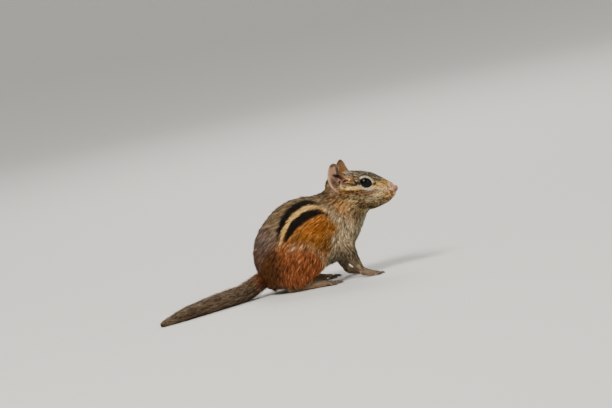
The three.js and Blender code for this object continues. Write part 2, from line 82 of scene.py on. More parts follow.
# Soft step from 0 at low to 1 at high; it falls where low is the larger
def smooth(low, high, x):
    t = np.clip((x - low) / (high - low), 0, 1)
    return t * t * (3 - 2 * t)


def bump(x, centre, reach):
    return np.exp(-((x - centre) / reach) ** 2)


# 1 between low and high, running softly to 0 outside
def belt(x, low, high, edge=0.5):
    return smooth(low - edge, low + edge, x) * (1 - smooth(high - edge, high + edge, x))


# Soft patches without a grid, between -1 and 1
def wobble(p, scale, seed):
    turns = np.random.default_rng(seed).normal(size=(6, 3)) / scale
    return sum(np.sin(p @ turns[k] * 2 + k * 1.7 + seed) for k in range(6)) / 3


def srgb(*values):
    c = np.array(values) / 255
    return np.where(c <= 0.04045, c / 12.92, ((c + 0.055) / 1.055) ** 2.4)


def makeMesh(name, points, faces):
    data = bpy.data.meshes.new(name)
    data.vertices.add(len(points))
    data.vertices.foreach_set("co", toModel(points).astype(np.float32).ravel())
    data.loops.add(faces.size)
    data.loops.foreach_set("vertex_index", faces.astype(np.int32).ravel())
    data.polygons.add(len(faces))
    data.polygons.foreach_set("loop_start", np.arange(0, faces.size, 3, dtype=np.int32))
    data.update(calc_edges=True)
    data.validate()
    data.shade_smooth()
    piece = bpy.data.objects.new(name, data)
    bpy.context.collection.objects.link(piece)
    return piece


# Points and triangles of a mesh, in the drawing frame
def readMesh(data):
    points = np.empty(len(data.vertices) * 3, np.float32)
    data.vertices.foreach_get("co", points)
    data.calc_loop_triangles()
    faces = np.empty(len(data.loop_triangles) * 3, np.int32)
    data.loop_triangles.foreach_get("vertices", faces)
    return points.reshape(-1, 3).astype(float) * 1000 - moved, faces.reshape(-1, 3)


def together(parts):
    points, faces, count = [], [], 0
    for p, f in parts:
        points.append(p)
        faces.append(f + count)
        count += len(p)
    return np.concatenate(points), np.concatenate(faces)


def paint(piece, colours):
    layer = piece.data.color_attributes.new("coatColour", "FLOAT_COLOR", "POINT")
    rgba = np.ones((len(colours), 4), np.float32)
    rgba[:, :3] = colours
    layer.data.foreach_set("color", rgba.ravel())


# Camera, at the photograph's angle: level with the animal, rolled so that the sloping ground stands flat
view = {"roll": 12.1, "elevation": 6.0, "lens": 200, "distance": 2.04, "aim": (1.9, 0, 49.2)}


def makeCamera():
    roll, lift = math.radians(view["roll"]), math.radians(view["elevation"])
    back = Vector((0, -math.cos(lift), math.sin(lift)))
    above = Vector((0, math.sin(lift), math.cos(lift)))
    right = Vector((math.cos(roll), 0, 0)) - above * math.sin(roll)
    up = Vector((math.sin(roll), 0, 0)) + above * math.cos(roll)
    data = bpy.data.cameras.new("camera")
    data.lens = view["lens"]
    data.sensor_width = 36
    data.clip_end = 20
    camera = bpy.data.objects.new("camera", data)
    place = Vector(toModel(view["aim"])) + back * view["distance"]
    camera.matrix_world = Matrix.Translation(place) @ Matrix((right, up, back)).transposed().to_4x4()
    bpy.context.collection.objects.link(camera)
    bpy.context.scene.camera = camera


makeCamera()
print("camera placed")

# Trunk: back x, back z, belly x, belly z, half width, and how high the widest line lies
trunkRows = np.array([
    (-35.0, 14.0, -31.5, 7.5, 5.0, 0.5),
    (-36.2, 20.5, -28.5, 2.6, 12.0, 0.45),
    (-35.4, 28.5, -20.0, 2.2, 17.0, 0.42),
    (-31.6, 37.0, -9.0, 4.4, 20.0, 0.42),
    (-25.2, 44.2, 1.0, 7.8, 21.3, 0.42),
    (-16.6, 50.6, 9.0, 10.0, 21.0, 0.42),
    (-7.2, 54.0, 17.0, 12.6, 19.2, 0.42),
    (1.5, 54.4, 24.0, 17.0, 17.2, 0.44),
    (7.5, 54.0, 29.6, 24.0, 15.2, 0.46),
    (12.5, 55.4, 34.4, 31.6, 13.4, 0.48),
    (17.0, 58.0, 38.6, 37.0, 12.0, 0.5),
    (21.5, 59.5, 41.0, 41.5, 10.0, 0.5),
])

# Tail out to the tips of the hair: x, y, z, half width, half height
tailRows = np.array([
    (-30.0, 0.0, 12.0, 5.2, 5.2),
    (-36.5, -2.0, 8.4, 5.8, 5.2),
    (-44.5, -6.0, 5.4, 6.6, 5.1),
    (-54.5, -12.0, 4.5, 7.2, 4.7),
    (-65.5, -19.6, 4.1, 7.1, 4.3),
    (-76.5, -27.8, 3.5, 6.3, 3.7),
    (-86.8, -35.8, 2.5, 4.6, 2.7),
    (-95.6, -43.0, 1.4, 1.6, 1.3),
])
trunkSteps, tailSteps = 160, 120


def rowsAt(rows, t):
    last = len(rows) - 1
    t = np.atleast_1d(t) * last
    i = np.clip(np.floor(t).astype(int), 0, last - 1)
    f = (t - i)[:, None]
    a, b, c, d = (rows[np.clip(i + k, 0, last)] for k in (-1, 0, 1, 2))
    return b + 0.5 * f * (c - a + f * (2 * a - 5 * b + 4 * c - d + f * (3 * (b - c) + d - a)))


trunkTable = rowsAt(trunkRows, np.linspace(0, 1, trunkSteps + 1))
tailLine = rowsAt(tailRows, np.linspace(0, 1, tailSteps + 1))[:, :3]
spine = np.stack([trunkTable[:, [0, 2]].mean(1), np.zeros(trunkSteps + 1), trunkTable[:, [1, 3]].mean(1)], 1)
backward = -unit(np.gradient(spine, axis=0))


# Share along the trunk from the rump, and share down from back to belly
def trunkPlace(points):
    belly, rise = trunkTable[:, 2:4], trunkTable[:, 0:2] - trunkTable[:, 2:4]
    tall = np.linalg.norm(rise, axis=1)
    along, down = np.zeros(len(points)), np.zeros(len(points))
    batch = 20000
    for start in range(0, len(points), batch):
        p = points[start:start + batch, [0, 2]][:, None, :] - belly[None]
        off = np.abs(p[..., 0] * rise[:, 1] - p[..., 1] * rise[:, 0]) / tall
        high = (p * rise).sum(-1) / tall**2
        off[(high < -0.15) | (high > 1.15)] += 50
        best = off.argmin(1)
        along[start:start + batch] = best / trunkSteps
        down[start:start + batch] = 1 - high[np.arange(len(best)), best]
    return along, down


def tailShare(p):
    return ((p[:, None] - tailLine[None]) ** 2).sum(-1).argmin(1) / tailSteps


# Skin: one surface for all the flesh, made from the solids drawn in by the depth of the coat
skinForm = {
    "voxel": 0.00045,
    "swell": 0.26,
    "tailCore": 0.45,
    "coatDepth": {"torso": 2.1, "neck": 1.9, "head": 0.75, "ear": 0.06, "hind_leg": 2.0, "hind_foot": 0.2,
                  "foreleg": 1.1, "forepaw": 0.2, "tail": 0.2},
    "muzzleThinner": 0.72,  # share that the depth loses from the eyes to the nose
    "noseClear": 0.6,  # how far the skin draws back from the nose piece
}
flesh = [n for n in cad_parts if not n.startswith("eye")]


def kind(name):
    return name.rsplit("_", 1)[0] if name.endswith(("_left", "_right")) else name


def nodeMesh(name):
    points, faces = readMesh(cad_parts[name].data)
    merged, back = np.unique(points.round(4), axis=0, return_inverse=True)
    faces = back.reshape(-1)[faces]
    a, b, c = faces.T
    return merged, faces[(a != b) & (b != c) & (a != c)]


def vertexNormals(points, faces):
    flat = np.cross(points[faces[:, 1]] - points[faces[:, 0]], points[faces[:, 2]] - points[faces[:, 0]])
    normals = np.zeros_like(points)
    for k in range(3):
        for axis in range(3):
            normals[:, axis] += np.bincount(faces[:, k], flat[:, axis], len(points))
    return unit(normals)


# Rings of points round a line, wide along side and tall along up
def rings(centres, side, up, wide, tall, ring):
    turn = np.linspace(0, 2 * math.pi, ring, endpoint=False)[None, :, None]
    wide, tall = wide[:, None, None], tall[:, None, None]
    points = centres[:, None] + side[:, None] * wide * np.cos(turn) + up[:, None] * tall * np.sin(turn)
    return points.reshape(-1, 3)


# Closed tube through rows of place, half width and half height
def tube(rows, steps, ring, share):
    places = rowsAt(rows, np.linspace(0, 1, steps))
    along = unit(np.gradient(places[:, :3], axis=0))
    side = unit(np.array([0, 1.0, 0]) - along * along[:, 1:2])
    wide, tall = places[:, 3] * share, places[:, 4] * share
    points = rings(places[:, :3], side, np.cross(side, along), wide, tall, ring)
    i, k = np.meshgrid(np.arange(steps - 1), np.arange(ring), indexing="ij")
    a, b = i * ring + k, i * ring + (k + 1) % ring
    quads = np.stack([a, a + ring, b + ring, b], -1).reshape(-1, 4)
    last = (steps - 1) * ring
    fan = [[0, k + 1, k] for k in range(1, ring - 1)]
    fan += [[last, last + k, last + k + 1] for k in range(1, ring - 1)]
    return points, np.concatenate([quads[:, :3], quads[:, [0, 2, 3]], np.array(fan)])


def wrapSolids(solids):
    grown = [(p + vertexNormals(p, f) * skinForm["swell"], f) for p, f in solids.values()]
    rough = makeMesh("skin", *together(grown))
    modifier = rough.modifiers.new("whole", "REMESH")
    modifier.mode = "VOXEL"
    modifier.voxel_size = skinForm["voxel"]
    depsgraph = bpy.context.evaluated_depsgraph_get()
    whole = bpy.data.meshes.new_from_object(rough.evaluated_get(depsgraph))
    points, faces = readMesh(whole)
    bpy.data.objects.remove(rough)
    bpy.data.meshes.remove(whole)
    return points, faces


def neighbours(faces, count):
    edges = np.concatenate([faces[:, [0, 1]], faces[:, [1, 2]], faces[:, [2, 0]]])
    edges = np.unique(np.sort(edges, 1), axis=0)
    return edges, np.bincount(edges.ravel(), minlength=count).astype(float)


# Values at the skin's points, drawn towards the mean of their neighbours
def relaxed(values, rounds, weight):
    weight = np.broadcast_to(np.asarray(weight, float), (len(values),))[:, None]
    first, second = edges.T
    for _ in range(rounds):
        total = [np.bincount(first, column[second], len(column))
                 + np.bincount(second, column[first], len(column)) for column in values.T]
        values = values + weight * (np.stack(total, 1) / degree[:, None] - values)
    return values


# How much each node has to do with each point
def nearness(points):
    share = {}
    for name, (p, f) in solids.items():
        tree = BVHTree.FromPolygons(p.tolist(), f.tolist())
        low, high = p.min(0) - 4, p.max(0) + 4
        far = np.full(len(points), 9.0)
        for k in np.nonzero(((points > low) & (points < high)).all(1))[0]:
            hit = tree.find_nearest(points[k], 9)
            if hit[3] is not None:
                far[k] = hit[3]
        share[name] = np.exp(-((far / 1.1) ** 2)) + 1e-6 * (far < 9) + 1e-9
    total = sum(share.values())
    return {name: s / total for name, s in share.items()}


# Skin moved in by the coat's depth; ears, feet, head and tail keep their form while the rest is smoothed
def drawnIn(points):
    inHead = toHead(points)
    ears = sum(near[n] for n in near if kind(n) == "ear")
    firm = near["head"] + sum(near[n] for n in near if kind(n) in ("ear", "hind_foot", "forepaw", "tail"))
    muzzle = smooth(8, 22, inHead[:, 0]) * near["head"]
    nose = smooth(27.2, 28.6, inHead[:, 0]) * smooth(1.6, 2.8, inHead[:, 2]) * near["head"]
    depth = sum(near[n] * skinForm["coatDepth"][kind(n)] for n in near)
    depth = depth * (1 - skinForm["muzzleThinner"] * muzzle) + skinForm["noseClear"] * nose
    depth = relaxed(depth[:, None], 25, 0.8 * (1 - 0.9 * ears))[:, 0]
    softness = relaxed((1 - 0.93 * firm)[:, None], 12, 0.8)[:, 0]
    points = relaxed(points, 26, 0.6 * softness)
    points = relaxed(points, 2, 0.35)
    points = points - vertexNormals(points, skinFaces) * (depth + skinForm["swell"])[:, None]
    points = relaxed(points, 6, 0.5 * softness)
    points[:, 2] = np.maximum(points[:, 2], 0.05)
    return points


solids = {n: tube(tailRows, 60, 20, skinForm["tailCore"]) if n == "tail" else nodeMesh(n) for n in flesh}
skinPoints, skinFaces = wrapSolids(solids)
print("skin wrapped:", len(skinPoints), "points")
near = nearness(skinPoints)
edges, degree = neighbours(skinFaces, len(skinPoints))
skinPoints = drawnIn(skinPoints)
skinNormals = vertexNormals(skinPoints, skinFaces)
print("skin drawn in under the coat")

# Markings, worked out from where a point lies on the body, for skin and coat alike
tones = {
    "black": (20, 12, 6), "dark": (74, 50, 34), "ash": (150, 128, 102),
    "cream": (255, 195, 110),
    # trunk
    "backBand": (135, 112, 79), "backRump": (112, 98, 97), "rump": (90, 53, 23),
    "flank": (132, 85, 31), "flankBright": (174, 100, 28), "belly": (150, 147, 121),
    "chest": (185, 161, 126), "shoulder": (163, 141, 109), "neckSide": (157, 100, 36),
    # the throat tone is the throat's own brown darkened with painted shade from under the jaw
    "nape": (59, 50, 36), "throatAndShade": (86, 64, 32),
    # head
    "cheek": (112, 90, 56), "cheekLow": (178, 152, 103), "jaw": (186, 162, 116),
    "crown": (97, 89, 70), "crownBack": (138, 127, 112), "rust": (102, 57, 16),
    "snout": (221, 170, 94), "snoutSide": (219, 189, 135), "snoutFront": (186, 138, 112),
    "pale": (229, 179, 109), "eyeRing": (255, 242, 209), "lip": (132, 114, 96),
    "nose": (158, 112, 92),
    # ears
    "earFront": (166, 108, 52), "earFlesh": (150, 104, 92), "earIn": (215, 173, 143),
    "earLobe": (208, 180, 158), "earOut": (115, 85, 54), "earRim": (216, 180, 152),
    # legs and tail
    # the thigh's top tone is a painted highlight
    "haunch": (145, 81, 42), "thighTopHighlight": (222, 185, 138), "foreleg": (108, 96, 75),
    "foot": (139, 119, 95), "sole": (150, 114, 95), "tailTop": (112, 84, 58),
    "tailRoot": (150, 88, 48), "tailTip": (116, 78, 50), "tailFrost": (206, 188, 160),
}
tones = {name: srgb(*rgb) for name, rgb in tones.items()}
stripes = {  # share along the trunk, share down from the back, half width in the same share
    "cream": [(0.3, 0.4, 0.008), (0.344, 0.338, 0.016), (0.394, 0.277, 0.02), (0.43, 0.243, 0.022),
              (0.469, 0.214, 0.023), (0.53, 0.189, 0.024), (0.594, 0.18, 0.024), (0.635, 0.207, 0.025),
              (0.675, 0.285, 0.022), (0.7, 0.34, 0.014)],
    "upper": [(0.35, 0.262, 0.016), (0.419, 0.192, 0.034), (0.475, 0.145, 0.037), (0.54, 0.122, 0.036),
              (0.606, 0.114, 0.034), (0.65, 0.14, 0.028), (0.69, 0.2, 0.014)],
    "lower": [(0.36, 0.37, 0.016), (0.419, 0.318, 0.04), (0.46, 0.294, 0.05), (0.506, 0.28, 0.054),
              (0.57, 0.265, 0.052), (0.625, 0.285, 0.046), (0.66, 0.35, 0.036), (0.685, 0.42, 0.018)],
}
mouthLine = np.array([(15.0, -2.6), (17.5, -3.3), (21.0, -2.9), (24.5, -1.5), (27.5, 0.2), (30.8, 0.8)])


def over(base, top, share):
    return base * (1 - share[:, None]) + top * share[:, None]


# A base tone at each point, with further tones laid over it by their share
def layered(p, base, layers):
    colour = np.tile(tones[base], (len(p), 1))
    for tone, share in layers:
        colour = over(colour, tones[tone], share)
    return colour


def stripe(name, along, down):
    rows = np.array(stripes[name])
    middle = np.interp(along, rows[:, 0], rows[:, 1])
    half = np.interp(along, rows[:, 0], rows[:, 2])
    return belt(along, rows[0, 0], rows[-1, 0], 0.02) * (1 - smooth(0.75, 1.25, np.abs(down - middle) / half))


def trunkColour(p):
    along, level = trunkPlace(p)
    down = level + 0.02 * wobble(p, 5, 3)
    fore = along + 0.87 * np.maximum(down - 0.6, 0)
    band = 1 - smooth(0.22, 0.36, down + 0.16 * smooth(0.62, 0.9, along))
    behind = (1 - smooth(0.24, 0.46, along)) * (0.1 + 0.75 * smooth(0.12, 0.3, along))
    median = (1 - smooth(0.8, 1.6, np.abs(p[:, 1]))) * smooth(0.12, 0.2, along)
    return layered(p, "flank", [
        ("flankBright", bump(along, 0.55, 0.09) * bump(down, 0.42, 0.13)),
        ("shoulder", smooth(0.63, 0.7, fore)),
        ("chest", smooth(0.7, 0.84, fore)),
        ("haunch", bump(along, 0.28, 0.1) * smooth(0.3, 0.55, down) * 0.8),
        ("rump", 1 - smooth(0.08, 0.34, along)),
        ("backBand", band * smooth(0.2, 0.42, along)),
        ("backRump", (1 - smooth(0.24, 0.5, down)) * behind),
        ("nape", (1 - smooth(0.2, 0.5, down)) * smooth(0.7, 0.8, along)),
        ("neckSide", bump(down, 0.45, 0.24) * smooth(0.7, 0.8, along) * 0.9),
        # throat's own tone with painted shade under the jaw and head
        ("throatAndShade", smooth(0.55, 0.8, down) * smooth(0.7, 0.86, along)),
        ("belly", smooth(0.8, 0.93, down) * smooth(0.3, 0.42, along)),
        ("black", stripe("upper", along, level)),
        ("black", stripe("lower", along, level)),
        ("cream", stripe("cream", along, level)),
        ("black", median * (1 - smooth(0.7, 0.82, along)) * (level < 0.3) * 0.85),
    ])


def mouthHeight(x):
    return np.interp(x, mouthLine[:, 0], mouthLine[:, 1])


def eyeAxes(hand):
    facing = unit(handed(eyeForm["facing"], hand))
    along = np.array([1, 0, -0.14])
    along = unit(along - facing * (facing @ along))
    return along, np.cross(facing, along), facing


# Pale lids round the eye and the black edge of its opening
def eyeLayers(q, hand):
    along, up, facing = eyeAxes(hand)
    v = q - handed(eyeForm["place"], hand)
    a, b = v @ along, v @ up
    front = (v @ facing) > 0.2
    outer = np.where(b > 0, 3.95, 4.4)
    lids = 1 - smooth(outer - 0.25, outer + 0.35, np.hypot(a / 1.28, b))
    return [
        ("eyeRing", front * lids * smooth(0.35, 1.35, np.abs(b + 0.1 * a))),
        ("black", front * (1 - smooth(2.6, 2.75, np.hypot(a / 1.36, b)))),
    ]


# Ear, in the head's frame and for the left side: root, way to the tip, way that the cup opens
earForm = {"base": (-3.0, 9.5, 0.3), "axis": {"right": (-0.33, 0.17, 0.93), "left": (-0.4, 0.36, 0.84)},
           "facing": (0.5, 0.86, 0), "height": 16.6}
# The black and dark patches are painted shade in the ear's notch, along its front slot and before the lobe;
# flesh and lobe are the ear's own tones
earPatches = [  # from the side, in the head's frame: middle, half length and height, slope, tone, strength
    ((-4.2, 5.9), (3.4, 2.2), -0.2, "earFlesh", 0.9),
    ((-5.0, 8.2), (4.0, 1.35), -0.28, "black", 0.92),
    ((-3.6, 12.4), (1.5, 3.4), 0.1, "black", 0.85),
    ((-1.4, 5.4), (1.0, 1.7), 0.0, "dark", 0.7),
    ((-3.0, 2.7), (1.7, 1.2), 0.0, "earLobe", 0.9),
]


def earAxes(name):
    axis = unit(np.array(earForm["axis"][name]))
    facing = np.array(earForm["facing"])
    facing = unit(facing - axis * (facing @ axis))
    return axis, facing, np.cross(axis, facing)


# Flesh and lobe of the ear, with painted shade in its hollow and notch, laid over ear and head alike
def earLayers(q, share):
    layers = []
    for (middleX, middleZ), (long, high), slope, tone, strength in earPatches:
        x, z = q[:, 0] - middleX, q[:, 2] - middleZ
        far = np.hypot((x + slope * z) / long, (z - slope * x) / high)
        layers.append((tone, share * (1 - smooth(0.7, 1.15, far)) * strength))
    return layers


def earColour(p, normals, name):
    axis, facing, across = earAxes(name)
    mirror = np.array([1, sides[name], 1])
    inHead = toHead(p) * mirror
    q = inHead - np.array(earForm["base"])
    high, deep, wide = q @ axis / earForm["height"], -(q @ facing), q @ across
    inner = smooth(-0.1, 0.35, (normals @ headTurn * mirror) @ facing)
    return layered(p, "earOut", [
        ("earIn", inner),
        ("earFlesh", inner * smooth(0.8, 2.2, deep) * 0.35),
        # painted shade, darker towards the bottom of the cup
        ("dark", inner * smooth(1.7, 3.2, deep) * 0.7),
        *earLayers(inHead, inner),
        # painted shade along the inner side of the front edge
        ("black", inner * belt(-wide, 1.2, 2.9) * belt(high, 0.35, 0.9, 0.12) * 0.8),
        ("earFront", smooth(2.9, 4.0, -wide) * (0.85 if name == "right" else 0.5)),
        ("earRim", smooth(4.0, 4.8, wide) * 0.7),
        ("dark", smooth(0.86, 0.95, high) * 0.75),
    ])


def headColour(p):
    q = toHead(p)
    x, y, z = q[:, 0], np.abs(q[:, 1]), q[:, 2] + 0.2 * wobble(p, 3, 5)
    high = z - 6.05 - 0.12 * (x - 11.3)  # over the line of the eye
    lip = z - mouthHeight(x)
    aside = smooth(2.5, 4, y)
    beds = smooth(0.1, 0.8, np.sin(x * 3.4 + z) * np.sin(z * 3.6))
    paleBelt = belt(high + 0.5 * wobble(p, 2, 9), -3.7, -1.1, 0.7) * (0.85 + 0.15 * wobble(p, 1.2, 12))
    layers = [
        ("jaw", 1 - smooth(-10.0, -6.5, z + 0.12 * x)),
        # throat's own darker brown with painted shade under the jaw
        ("throatAndShade", bump(x, 11, 4) * bump(z, -6.6, 2.4) * 0.75),
        ("snout", smooth(13, 18, x) * smooth(-2, 1, z)),
        ("snoutSide", belt(x, 16, 24, 2) * belt(z, 1.6, 4.6, 1.0) * aside * 0.7),
        ("jaw", bump(x, 18, 3.6) * bump(z, -3.6, 2.0) * 0.7),
        ("dark", beds * belt(x, 16.5, 24, 1.5) * belt(z, 0.4, 5.2, 0.8) * aside * 0.5),
        ("snoutFront", smooth(21.5, 25.5, x) * belt(z, 1.6, 7.5, 1.0) * 0.75),
        ("cheekLow", bump(x, 3.5, 5.5) * bump(z, -4.4, 2.6) * 0.85),
        ("crown", smooth(6.8, 9.2, z + 0.16 * (x - 11.3) - 0.06 * y) * (1 - smooth(18, 25, x))),
        ("crownBack", smooth(6, -2, x) * smooth(3, 8, z) * 0.65),
        ("earFront", bump(x, 0.8, 2.4) * belt(high, 0.6, 5.0, 1.2) * smooth(6, 9, y) * 0.8),
        ("rust", belt(high, -6.1, -3.8) * belt(x, -6, 19, 2.5) * smooth(4, 5.5, y) * 0.9),
        ("pale", paleBelt * belt(x, -3, 15.5, 2.2) * aside),
        ("dark", belt(high, -1.1, 0.4) * belt(x, -3, 4, 1.5) * aside * 0.4),
        ("dark", belt(high, -1.9, -0.6) * belt(x, 17, 22, 1.5) * aside * 0.35),
        ("lip", bump(lip, 1.0, 0.9) * smooth(19, 23, x) * 0.35),
        ("lip", (1 - smooth(-2.0, -0.5, lip)) * smooth(17, 23, x) * 0.45),
    ]
    for hand in sides.values():
        layers += eyeLayers(q, hand)
        layers += earLayers(q * (1, hand, 1), smooth(6.5, 8, hand * q[:, 1]) * (x < 1.5))
    layers += [
        ("black", belt(high, -0.9, 1.3) * belt(x, 5.0, 9.4, 0.8) * aside * 0.94),  # streak behind the eye
        ("dark", belt(high, -1.1, 0.5) * belt(x, 15.5, 17.6) * aside * 0.95),  # point before it
        ("nose", smooth(27.6, 28.2, x) * smooth(1.6, 2.6, z)),
        ("dark", belt(x, 26.4, 28.0, 0.4) * belt(z, 1.0, 3.2) * smooth(0.8, 1.6, y) * 0.8),
        # painted shadow under the lower edge of the whisker pad
        ("dark", bump(lip, 2.4, 0.4) * belt(x, 20.5, 28.0, 1.2) * smooth(1.5, 2.5, y) * 0.75),
        ("black", bump(lip, 0, 0.32) * smooth(15, 18, x) * 0.7),
    ]
    return layered(p, "cheek", layers)


def forelegColour(p):
    return layered(p, "foreleg", [("chest", smooth(15, 27, p[:, 2])), ("foot", 1 - smooth(4, 13, p[:, 2]))])


# Thigh with a painted highlight band over its top and front
def thighColour(p):
    arch = np.hypot((p[:, 0] + 9) / 14.5, (p[:, 2] - 14) / 13.0)
    return layered(p, "haunch", [
        # painted highlight along the top and front of the thigh
        ("thighTopHighlight", belt(arch, 0.88, 1.12, 0.16) * smooth(-18, -10, p[:, 0]) * 0.62),
        ("rump", 1 - smooth(-26, -14, p[:, 0])),
        ("rump", (1 - smooth(2.0, 5.0, p[:, 2])) * 0.6),
    ])


def footColour(p, normals):
    return layered(p, "foot", [("sole", smooth(0.3, 0.7, -normals[:, 2]))])


def tailColour(p):
    t = tailShare(p)
    return layered(p, "tailTop", [("tailRoot", 1 - smooth(0.02, 0.2, t)), ("tailTip", smooth(0.8, 0.95, t))])


colourOf = {"torso": trunkColour, "neck": trunkColour, "head": headColour, "hind_leg": thighColour,
            "foreleg": forelegColour, "tail": tailColour}


def markings(p, normals, share):
    colour = np.zeros((len(p), 3))
    made = {}
    for name, s in share.items():
        part = kind(name)
        if part == "ear":
            mine = earColour(p, normals, name.rsplit("_", 1)[1])
        elif part in ("hind_foot", "forepaw"):
            mine = footColour(p, normals)
        else:
            if part not in made:
                made[part] = colourOf[part](p)
            mine = made[part]
        colour += mine * s[:, None]
    return colour


# The thigh's and the foreleg's colours run softly into the trunk's
def softened(name):
    rounds = 40 if kind(name) in ("hind_leg", "foreleg", "torso", "neck") else 4
    return relaxed(near[name][:, None], rounds, 0.8)[:, 0]


soft = {n: softened(n) for n in near}
total = sum(soft.values())
soft = {n: s / total for n, s in soft.items()}
skinColour = markings(skinPoints, skinNormals, soft)
skinColour *= np.exp(0.3 * wobble(skinPoints, 0.6, 41) + 0.22 * wobble(skinPoints, 0.33, 42))[:, None]
print("markings laid")


# Lie of the coat: the way that the hair points at each place on the skin
def lieOfCoat():
    along, down = trunkPlace(skinPoints)
    low = 1 - smooth(5, 12, skinPoints[:, 2])
    outward = np.sign(toHead(skinPoints)[:, 1:2]) * headTurn[:, 1]
    sagging = np.array([0, 0, -0.45]) * smooth(0.1, 0.5, down)[:, None]
    trunk = backward[(along * trunkSteps).astype(int)] + sagging
    tail = unit(np.gradient(tailLine, axis=0))[(tailShare(skinPoints) * tailSteps).astype(int)]
    ways = {
        "torso": trunk,
        "neck": trunk,
        "head": -headTurn[:, 0] + np.array([0, 0, -0.25]) + outward * 0.15,
        "hind_leg": np.array([-0.55, 0, -0.85]) + np.array([0.9, 0, 0.1]) * low[:, None],
        "foreleg": np.array([[0.25, 0, -1.0]]),
        "tail": tail,
        "hind_foot": np.array([[1.0, 0, -0.1]]),
        "forepaw": np.array([[1.0, 0, -0.1]]),
        "ear_right": (headTurn @ handed(earAxes("right")[0], -1))[None],
        "ear_left": (headTurn @ handed(earAxes("left")[0], 1))[None],
    }
    flow = sum(unit(ways.get(kind(name), ways.get(name))) * s[:, None] for name, s in near.items())
    flow = flow - skinNormals * (flow * skinNormals).sum(1, keepdims=True)
    flow = relaxed(unit(flow), 30, 0.7)
    return unit(flow - skinNormals * (flow * skinNormals).sum(1, keepdims=True))


flow = lieOfCoat()
print("lie of the coat set")

# Coat: short solid tufts of three sides, each rooted in the skin and bent along the lie
coatForm = {  # tufts to a square millimetre, their size and lift, and the share that heads a clump
    "torso": {"tufts": 5.6, "length": 5.0, "half": 0.16, "lift": 21, "heads": 2.2 / 5.6},
    "neck": {"tufts": 6.8, "length": 4.4, "half": 0.15, "lift": 23, "heads": 2.4 / 6.8},
    "head": {"tufts": 19, "length": 2.1, "half": 0.09, "lift": 20, "heads": 1.9 / 19},
    "ear": {"tufts": 22, "length": 0.9, "half": 0.06, "lift": 24, "heads": 3 / 22},
    "hind_leg": {"tufts": 5.6, "length": 4.7, "half": 0.16, "lift": 21, "heads": 2.4 / 5.6},
    "foreleg": {"tufts": 9, "length": 3.1, "half": 0.13, "lift": 20, "heads": 2.0 / 9},
    "hind_foot": {"tufts": 15, "length": 1.2, "half": 0.085, "lift": 16, "heads": 2.5 / 15},
    "forepaw": {"tufts": 15, "length": 1.1, "half": 0.08, "lift": 16, "heads": 2.5 / 15},
    "tail": {"tufts": 0, "length": 1, "half": 0.1, "lift": 14, "heads": 0.2},
}
clumpForm = {"pull": 0.55, "reach": 1.5, "turn": 0.12, "rise": 0.09,
             "dark": 0.28, "darkTone": 0.42, "light": 0.28, "lightTone": 1.65}
bareForm = {"lids": 0.45, "eyeball": 0.15, "nose": (27.0, 1.6), "mouth": 0.22, "sole": (-0.35, 1.6)}
earCup = {"centre": (-3.9, 11.4, 5.6), "radii": (3.0, 2.8, 4.6)}  # hollow where the hair stays short
tuftForm = {"sides": (0.5, 2.6, 4.7), "sunk": 0.25, "bend": 0.3, "flat": 0.7, "mostFaces": 190000}
fewer, wider = ((1, 1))


def coatValue(name, share):
    return sum(share[n] * coatForm[kind(n)][name] for n in share)


def scatter(density):
    corners = skinPoints[skinFaces]
    area = np.linalg.norm(np.cross(corners[:, 1] - corners[:, 0], corners[:, 2] - corners[:, 0]), axis=1) / 2
    wanted = area * density[skinFaces].mean(1)
    count = np.floor(wanted + rng.random(len(wanted))).astype(int)
    face = np.repeat(np.arange(len(skinFaces)), count)
    u, v = rng.random(len(face)), rng.random(len(face))
    flip = u + v > 1
    u[flip], v[flip] = 1 - u[flip], 1 - v[flip]
    return face, np.stack([1 - u - v, u, v], 1)


def atRoots(values, face, weights):
    corners = values[skinFaces[face]]
    return (corners * (weights[:, :, None] if corners.ndim == 3 else weights)).sum(1)


# Bare places: eyes, nose, mouth line and soles
def keepClear(p, normals):
    q = toHead(p)
    bare = np.zeros(len(p), bool)
    long, high = np.array(eyeForm["opening"]) + bareForm["lids"]
    for hand in sides.values():
        along, up, facing = eyeAxes(hand)
        v = q - handed(eyeForm["place"], hand)
        far = np.linalg.norm(v, axis=1)
        inside = ((v @ along) / long) ** 2 + ((v @ up) / high) ** 2 < 1
        bare |= inside & (v @ facing > -1.5) & (far < 7)
        bare |= far < eyeForm["radius"] + bareForm["eyeball"]
    bare |= (q[:, 0] > bareForm["nose"][0]) & (q[:, 2] > bareForm["nose"][1])
    lip = np.abs(q[:, 2] - mouthHeight(q[:, 0]))
    bare |= (q[:, 0] > 15) & (lip < bareForm["mouth"]) & (np.abs(q[:, 1]) < 9)
    bare |= (normals[:, 2] < bareForm["sole"][0]) & (p[:, 2] < bareForm["sole"][1])
    return bare


# Place of each root on an unwrap of the body's own forms: turn round the form by length
def unwrap(p, share):
    u, v = np.zeros(len(p)), np.zeros(len(p))
    along, _ = trunkPlace(p)
    best = np.stack([share[n] for n in near]).argmax(0)
    for k, name in enumerate(near):
        part, mine = kind(name), best == k
        if part in ("torso", "neck"):
            off = p - spine[(along * trunkSteps).astype(int)]
            turn, b = np.arctan2(p[:, 1], off[:, 2] + off[:, 0] * 0.4), along
        elif part == "tail":
            b = tailShare(p)
            off = p - rowsAt(tailRows, b)[:, :3]
            turn = np.arctan2(off[:, 2], off[:, 1])
        elif part in ("head", "ear"):
            q = toHead(p)
            turn, b = np.arctan2(q[:, 1], q[:, 2]), (q[:, 0] + 15) / 46
        else:
            low, high = solids[name][0].min(0), solids[name][0].max(0)
            off = p - (low + high) / 2
            turn, b = np.arctan2(off[:, 2], off[:, 1]), (p[:, 0] - low[0]) / (high[0] - low[0])
        u[mine], v[mine] = (turn / (2 * math.pi) + 0.5)[mine], b[mine]
    return np.clip(np.stack([u, v], 1), 0, 1), best


